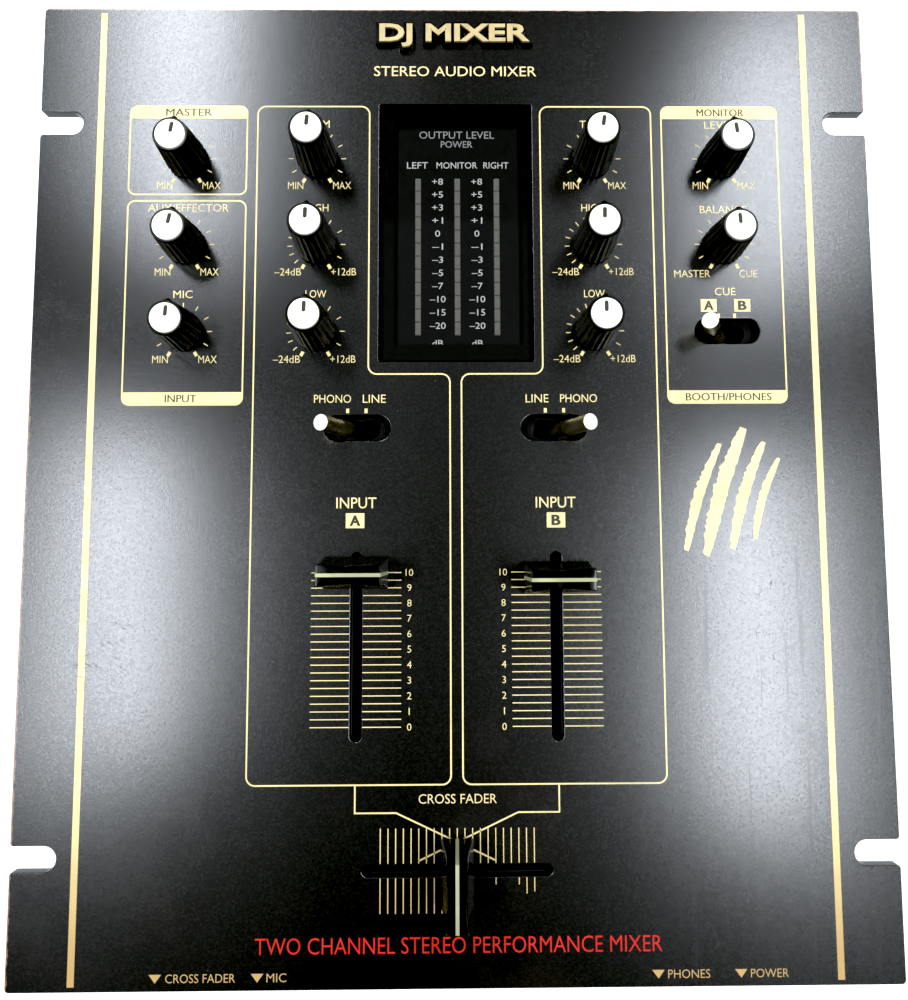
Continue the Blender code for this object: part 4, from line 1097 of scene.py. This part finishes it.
def make_phono_sockets():
    """Two rows of eight plated cups, with white or red insulators, and the lettering round them."""
    block = Box("rca_sleeves")
    x, y, z = block.middle.x, block.low.y, block.middle.z
    pitch_x, pitch_z, reach = 16, 18, block.size.y
    titles = ("PHONO A", "LINE A", "PHONO B", "LINE B", "AUX", "SEND", "BOOTH", "MASTER")
    columns = [x + (column - (len(titles) - 1) / 2) * pitch_x for column in range(len(titles))]
    cup = (
        (0, 0.5), (4.7, 0.5), (4.7, 0.9), (4.15, 1.0), (4.15, reach - 0.2), (4.0, reach),
        (3.75, reach), (3.65, reach - 0.2), (3.65, 1.4), (0, 1.4),
    )
    ring = (
        (0, 1.3), (3.6, 1.3), (3.6, reach - 0.7), (3.45, reach - 0.5), (1.9, reach - 0.5),
        (1.65, reach - 0.75), (1.6, 1.9), (0, 1.9),
    )
    # painted shade: near-black discs at the bottom of the centre holes darken them
    hole_shade = ((0, 1.8), (1.5, 1.8), (1.5, 2.2), (0, 2.2))
    metal, hole_shades = Shape(), Shape()
    backing = rectangle(0, 0, block.size.x, block.size.z, 1.2)
    metal.placed(facing("rear", x, y, z), metal.slab, backing, (), 0, 0.6, 0.1)
    for row, colour in ((0.5, "white"), (-0.5, "red")):
        rings = Shape()
        for column in columns:
            place = facing("rear", column, y, z + row * pitch_z)
            for shape, profile, steps in ((metal, cup, 40), (rings, ring, 32), (hole_shades, hole_shade, 24)):
                shape.placed(place, shape.turned, profile, steps)
        rings.piece(f"phono_insulators_{colour}", f"{colour}_plastic", smooth=35)
    hole_shades.piece("phono_hole_shades", "felt", smooth=35)
    metal.piece("phono_sockets", "plated_steel", slot="plated_steel", replaces=["rca_sleeves"], smooth=35)

    shape = Shape(facing("rear", 0, REAR, 0))
    for title, column in zip(titles, columns):
        shape.words(title, -column, 71.2, None, 2.0, 0, 0.03)
    for title, x, z in (("L", 54.5, 59), ("R", 54.5, 41), ("GND", -96, 60.5), ("AC IN", 84, 61.5)):
        shape.words(title, -x, z, None, 2.2, 0, 0.03)
    shape.piece("print_rear_lettering", "white_ink")


def make_jacks():
    """A hexagon nut and washer on the socket's bushing, with the moulded case behind the panel."""
    bore, barrel, inner = circle(0, 0, 3.3, 40), circle(0, 0, 4.3, 48), circle(0, 0, 4.2, 40)
    washer = circle(0, 0, 6.6, 48)
    nut = [Matrix.Rotation(0.35, 2) @ p for p in circle(0, 0, 6.0, 6)]
    for name in ("mic", "phones"):
        jack, place, outer, behind = fitting(f"{name}_jack", "front")
        shape = Shape(place)
        shape.slab(washer, [inner], 0, 0.35, 0.08)
        shape.slab(nut, [inner], 0.35, 1.9, 0.2)
        shape.slab(barrel, [bore], -1.4, outer, 0.3)
        shape.layer = 1
        case = rectangle(0, 0, jack.size.x, jack.size.z, 0.8)
        shape.slab(case, [bore], behind + 3, -1.5)
        shape.slab(case, (), behind, behind + 3)
        shape.piece(f"jack_socket_{name}", "plated_steel moulded_black", replaces=[f"{name}_jack"],
                    smooth=35)


def make_front_controls():
    button, place, outer, behind = fitting("power_button", "front")
    shape = Shape(place)
    shape.slab(rectangle(0, 0, button.size.x, button.size.z, 1.3), (), behind, outer - 0.03, 0.6, 4)
    shape.layer = 1
    shape.slab(stadium(0, 0, 5, 0.7, 8), (), outer - 0.06, outer)
    shape.piece("power_push_button", "moulded_black white_ink", "power_push", "moulded_black",
                ["power_button"], 35)

    lever, place, outer, behind = fitting("reverse_switch_lever", "front")
    shape = Shape(place)
    shape.slab(rectangle(0, 0, lever.size.x, lever.size.z, 0.4), (), behind, outer - 0.6, 0.2)
    for x in (-1.3, 0, 1.3):
        shape.slab(rectangle(x, 0, 0.6, lever.size.z - 0.2, 0.2), (), outer - 0.8, outer, 0.15)
    shape.piece("reverse_lever_ribbed", "moulded_black", "reverse_slider", "moulded_black",
                ["reverse_switch_lever"], 35)


def make_rear_fittings():
    """The mains inlet with its two pins, and the earth terminal with its knurled nut."""
    inlet, place, outer, behind = fitting("mains_inlet", "rear")
    floor = outer - 12
    shape = Shape(place)
    shell = rectangle(0, 0, inlet.size.x, inlet.size.z, 1.6)
    shape.slab(shell, [stadium(0, 0, 16, 8.6)], floor, outer, 0.4, 3)
    shape.slab(shell, (), behind, floor)
    shape.piece("inlet_shell", "moulded_black", slot="moulded_black", replaces=["mains_inlet"], smooth=35)
    shape = Shape(place)
    pin = ((0, floor - 0.1), (1.2, floor - 0.1), (1.2, -1.6), (0.8, -1.0), (0, -0.9))
    for x in (-4.3, 4.3):
        shape.placed(at(x, 0), shape.turned, pin, 24)
    shape.piece("inlet_pins", "plated_steel", smooth=35)

    _, place, outer, behind = fitting("earth_terminal", "rear")
    nut_radius = 3.9
    profile = (
        (0, behind), (1.9, behind), (1.9, 0.1), (4.9, 0.1), (4.9, 0.7), (3.4, 0.8), (3.6, 1.1),
        (nut_radius, 1.3), (nut_radius, outer - 0.6), (3.5, outer - 0.2), (2.3, outer - 0.2),
        (2.0, outer), (0, outer),
    )

    def knurled(turn, radius, z):
        return radius + (0.1 * math.cos(36 * turn) if radius == nut_radius else 0)

    shape = Shape(place)
    shape.turned(profile, 144, knurled)
    shape.piece("earth_thumb_nut", "plated_steel", slot="plated_steel", replaces=["earth_terminal"],
                smooth=35)


# ---------------------------------------------------------------- everything
make_plate()
print_strips()
print_frames()
print_knob_scales()
print_fader_scales()
print_labels()
print_brush_mark()
add_scuffs()
make_badge()
make_display()
make_knobs()
make_toggles()
make_caps()
make_screws()
make_feet()
make_phono_sockets()
make_jacks()
make_front_controls()
make_rear_fittings()

# The CAD nodes of each finish; nodes not named here, such as the fader carriages, are plated steel
NODE_FINISH = {
    "smoked_lens": ("display_lens",),
    "circuit_board": ("meter_board", "control_board", "main_board"),
    "felt": ("dust_shield_inputs", "dust_shield_cue"),
    "lamination": ("mains_transformer",),
    "moulded_black": ("rca_block", "mains_inlet", "power_button", "reverse_switch_lever"),
    "rubber": [f"foot_{name}" for name in FEET],
    "chassis_paint": ("chassis_tray", "front_panel", "rear_panel",
                      *(f"fader_housing_{name}" for name in faders)),
}
finish_of = {node: finish for finish, nodes in NODE_FINISH.items() for node in nodes}
for name, node in frame["nodes"].items():
    for slot in node.material_slots:
        slot.material = M[finish_of.get(name, "plated_steel")]


# ---------------------------------------------------------------- floor, light and camera
EYE = Vector((0.299, -20.67, 305.354))
CAMERA_TURN = Vector((0.0761, -0.0092, -0.0040))  # from looking straight down, as axis times radians
LENS_LENGTH = 25.764
SENSOR_WIDTH = 36
CAMERA_SHIFT = (-0.009735, -0.01249)
BLACK_POINT = (0.0100, 0.0100, 0.0125)
DAYLIGHT = (0.88, 0.93, 1.0)
PANEL_DISTANCE = 700  # from the plate
FLOOR_HALF = 4.0  # in metres
CLIP = (0.01, 100)  # in metres


def make_stage():
    bm = bmesh.new()
    bmesh.ops.create_grid(bm, x_segments=1, y_segments=1, size=FLOOR_HALF)
    mesh = bpy.data.meshes.new("floor")
    bm.to_mesh(mesh)
    bm.free()
    floor = bpy.data.objects.new("floor", mesh)
    bpy.context.scene.collection.objects.link(floor)
    glow = {"Emission_Color": (1, 1, 1, 1), "Emission_Strength": 0.25}
    f = Finish("floor_white", (0.9, 0.9, 0.9), 0.85, **glow)
    f.mottle((0.87, 0.87, 0.87), 3, 2, 0.3, 0.7)
    mesh.materials.append(f.material)


def make_light(name, spot, half_size, radiance):
    """A soft panel that the camera sees mirrored in the plate at spot, half_size across."""
    mirrored_eye = Vector((EYE.x, EYE.y, 2 * TOP - EYE.z))
    point = Vector((*spot, TOP))
    ray = (point - mirrored_eye).normalized()
    scale = 1 + PANEL_DISTANCE / (point - mirrored_eye).length
    data = bpy.data.lights.new(name, "AREA")
    data.shape = "RECTANGLE"
    data.size, data.size_y = (2 * half * MM * scale for half in half_size)
    data.energy = radiance * math.pi * data.size * data.size_y
    data.color = DAYLIGHT
    light = bpy.data.objects.new(name, data)
    light.location = (point + ray * PANEL_DISTANCE) * MM
    side = Vector((0, 1, 0)).cross(ray).normalized()
    light.rotation_mode = "QUATERNION"
    light.rotation_quaternion = Matrix((side, ray.cross(side), ray)).transposed().to_quaternion()
    bpy.context.scene.collection.objects.link(light)


def make_world():
    """White where the camera sees it, and dim as a light."""
    world = bpy.data.worlds.new("studio")
    world.use_nodes = True
    tree = world.node_tree
    tree.nodes.clear()
    out, mix, path, dim, seen = (tree.nodes.new(f"ShaderNode{kind}") for kind in (
        "OutputWorld", "MixShader", "LightPath", "Background", "Background",
    ))
    for background, strength in ((dim, 0.015), (seen, 1.0)):
        background.inputs["Color"].default_value = (1, 1, 1, 1)
        background.inputs["Strength"].default_value = strength
    tree.links.new(path.outputs["Is Camera Ray"], mix.inputs[0])
    tree.links.new(dim.outputs[0], mix.inputs[1])
    tree.links.new(seen.outputs[0], mix.inputs[2])
    tree.links.new(mix.outputs[0], out.inputs[0])
    bpy.context.scene.world = world


def make_camera():
    data = bpy.data.cameras.new("camera")
    data.sensor_width = SENSOR_WIDTH
    data.lens = LENS_LENGTH
    data.shift_x, data.shift_y = CAMERA_SHIFT
    data.clip_start, data.clip_end = CLIP
    camera = bpy.data.objects.new("camera", data)
    camera.location = EYE * MM
    camera.rotation_mode = "QUATERNION"
    turn = Matrix.Rotation(CAMERA_TURN.length, 3, CAMERA_TURN.normalized())
    camera.rotation_quaternion = turn.to_quaternion()
    bpy.context.scene.collection.objects.link(camera)
    bpy.context.scene.camera = camera


def set_tones():
    """Deep blacks, as in the photograph."""
    settings = bpy.context.scene.view_settings
    settings.view_transform = "Standard"
    settings.use_curve_mapping = True
    settings.curve_mapping.black_level = BLACK_POINT
    settings.curve_mapping.update()


make_stage()
make_light("panel_left_rear", (-88, 132), (13, 55), 45)
make_light("panel_left", (-102, -36), (12, 49), 50)
make_light("panel_right_rear", (101, 98), (18, 41), 31)
make_light("panel_right", (90, -49), (12, 53), 50)
make_light("ceiling", (2, 36), (42, 40), 0.22)
make_world()
make_camera()
set_tones()
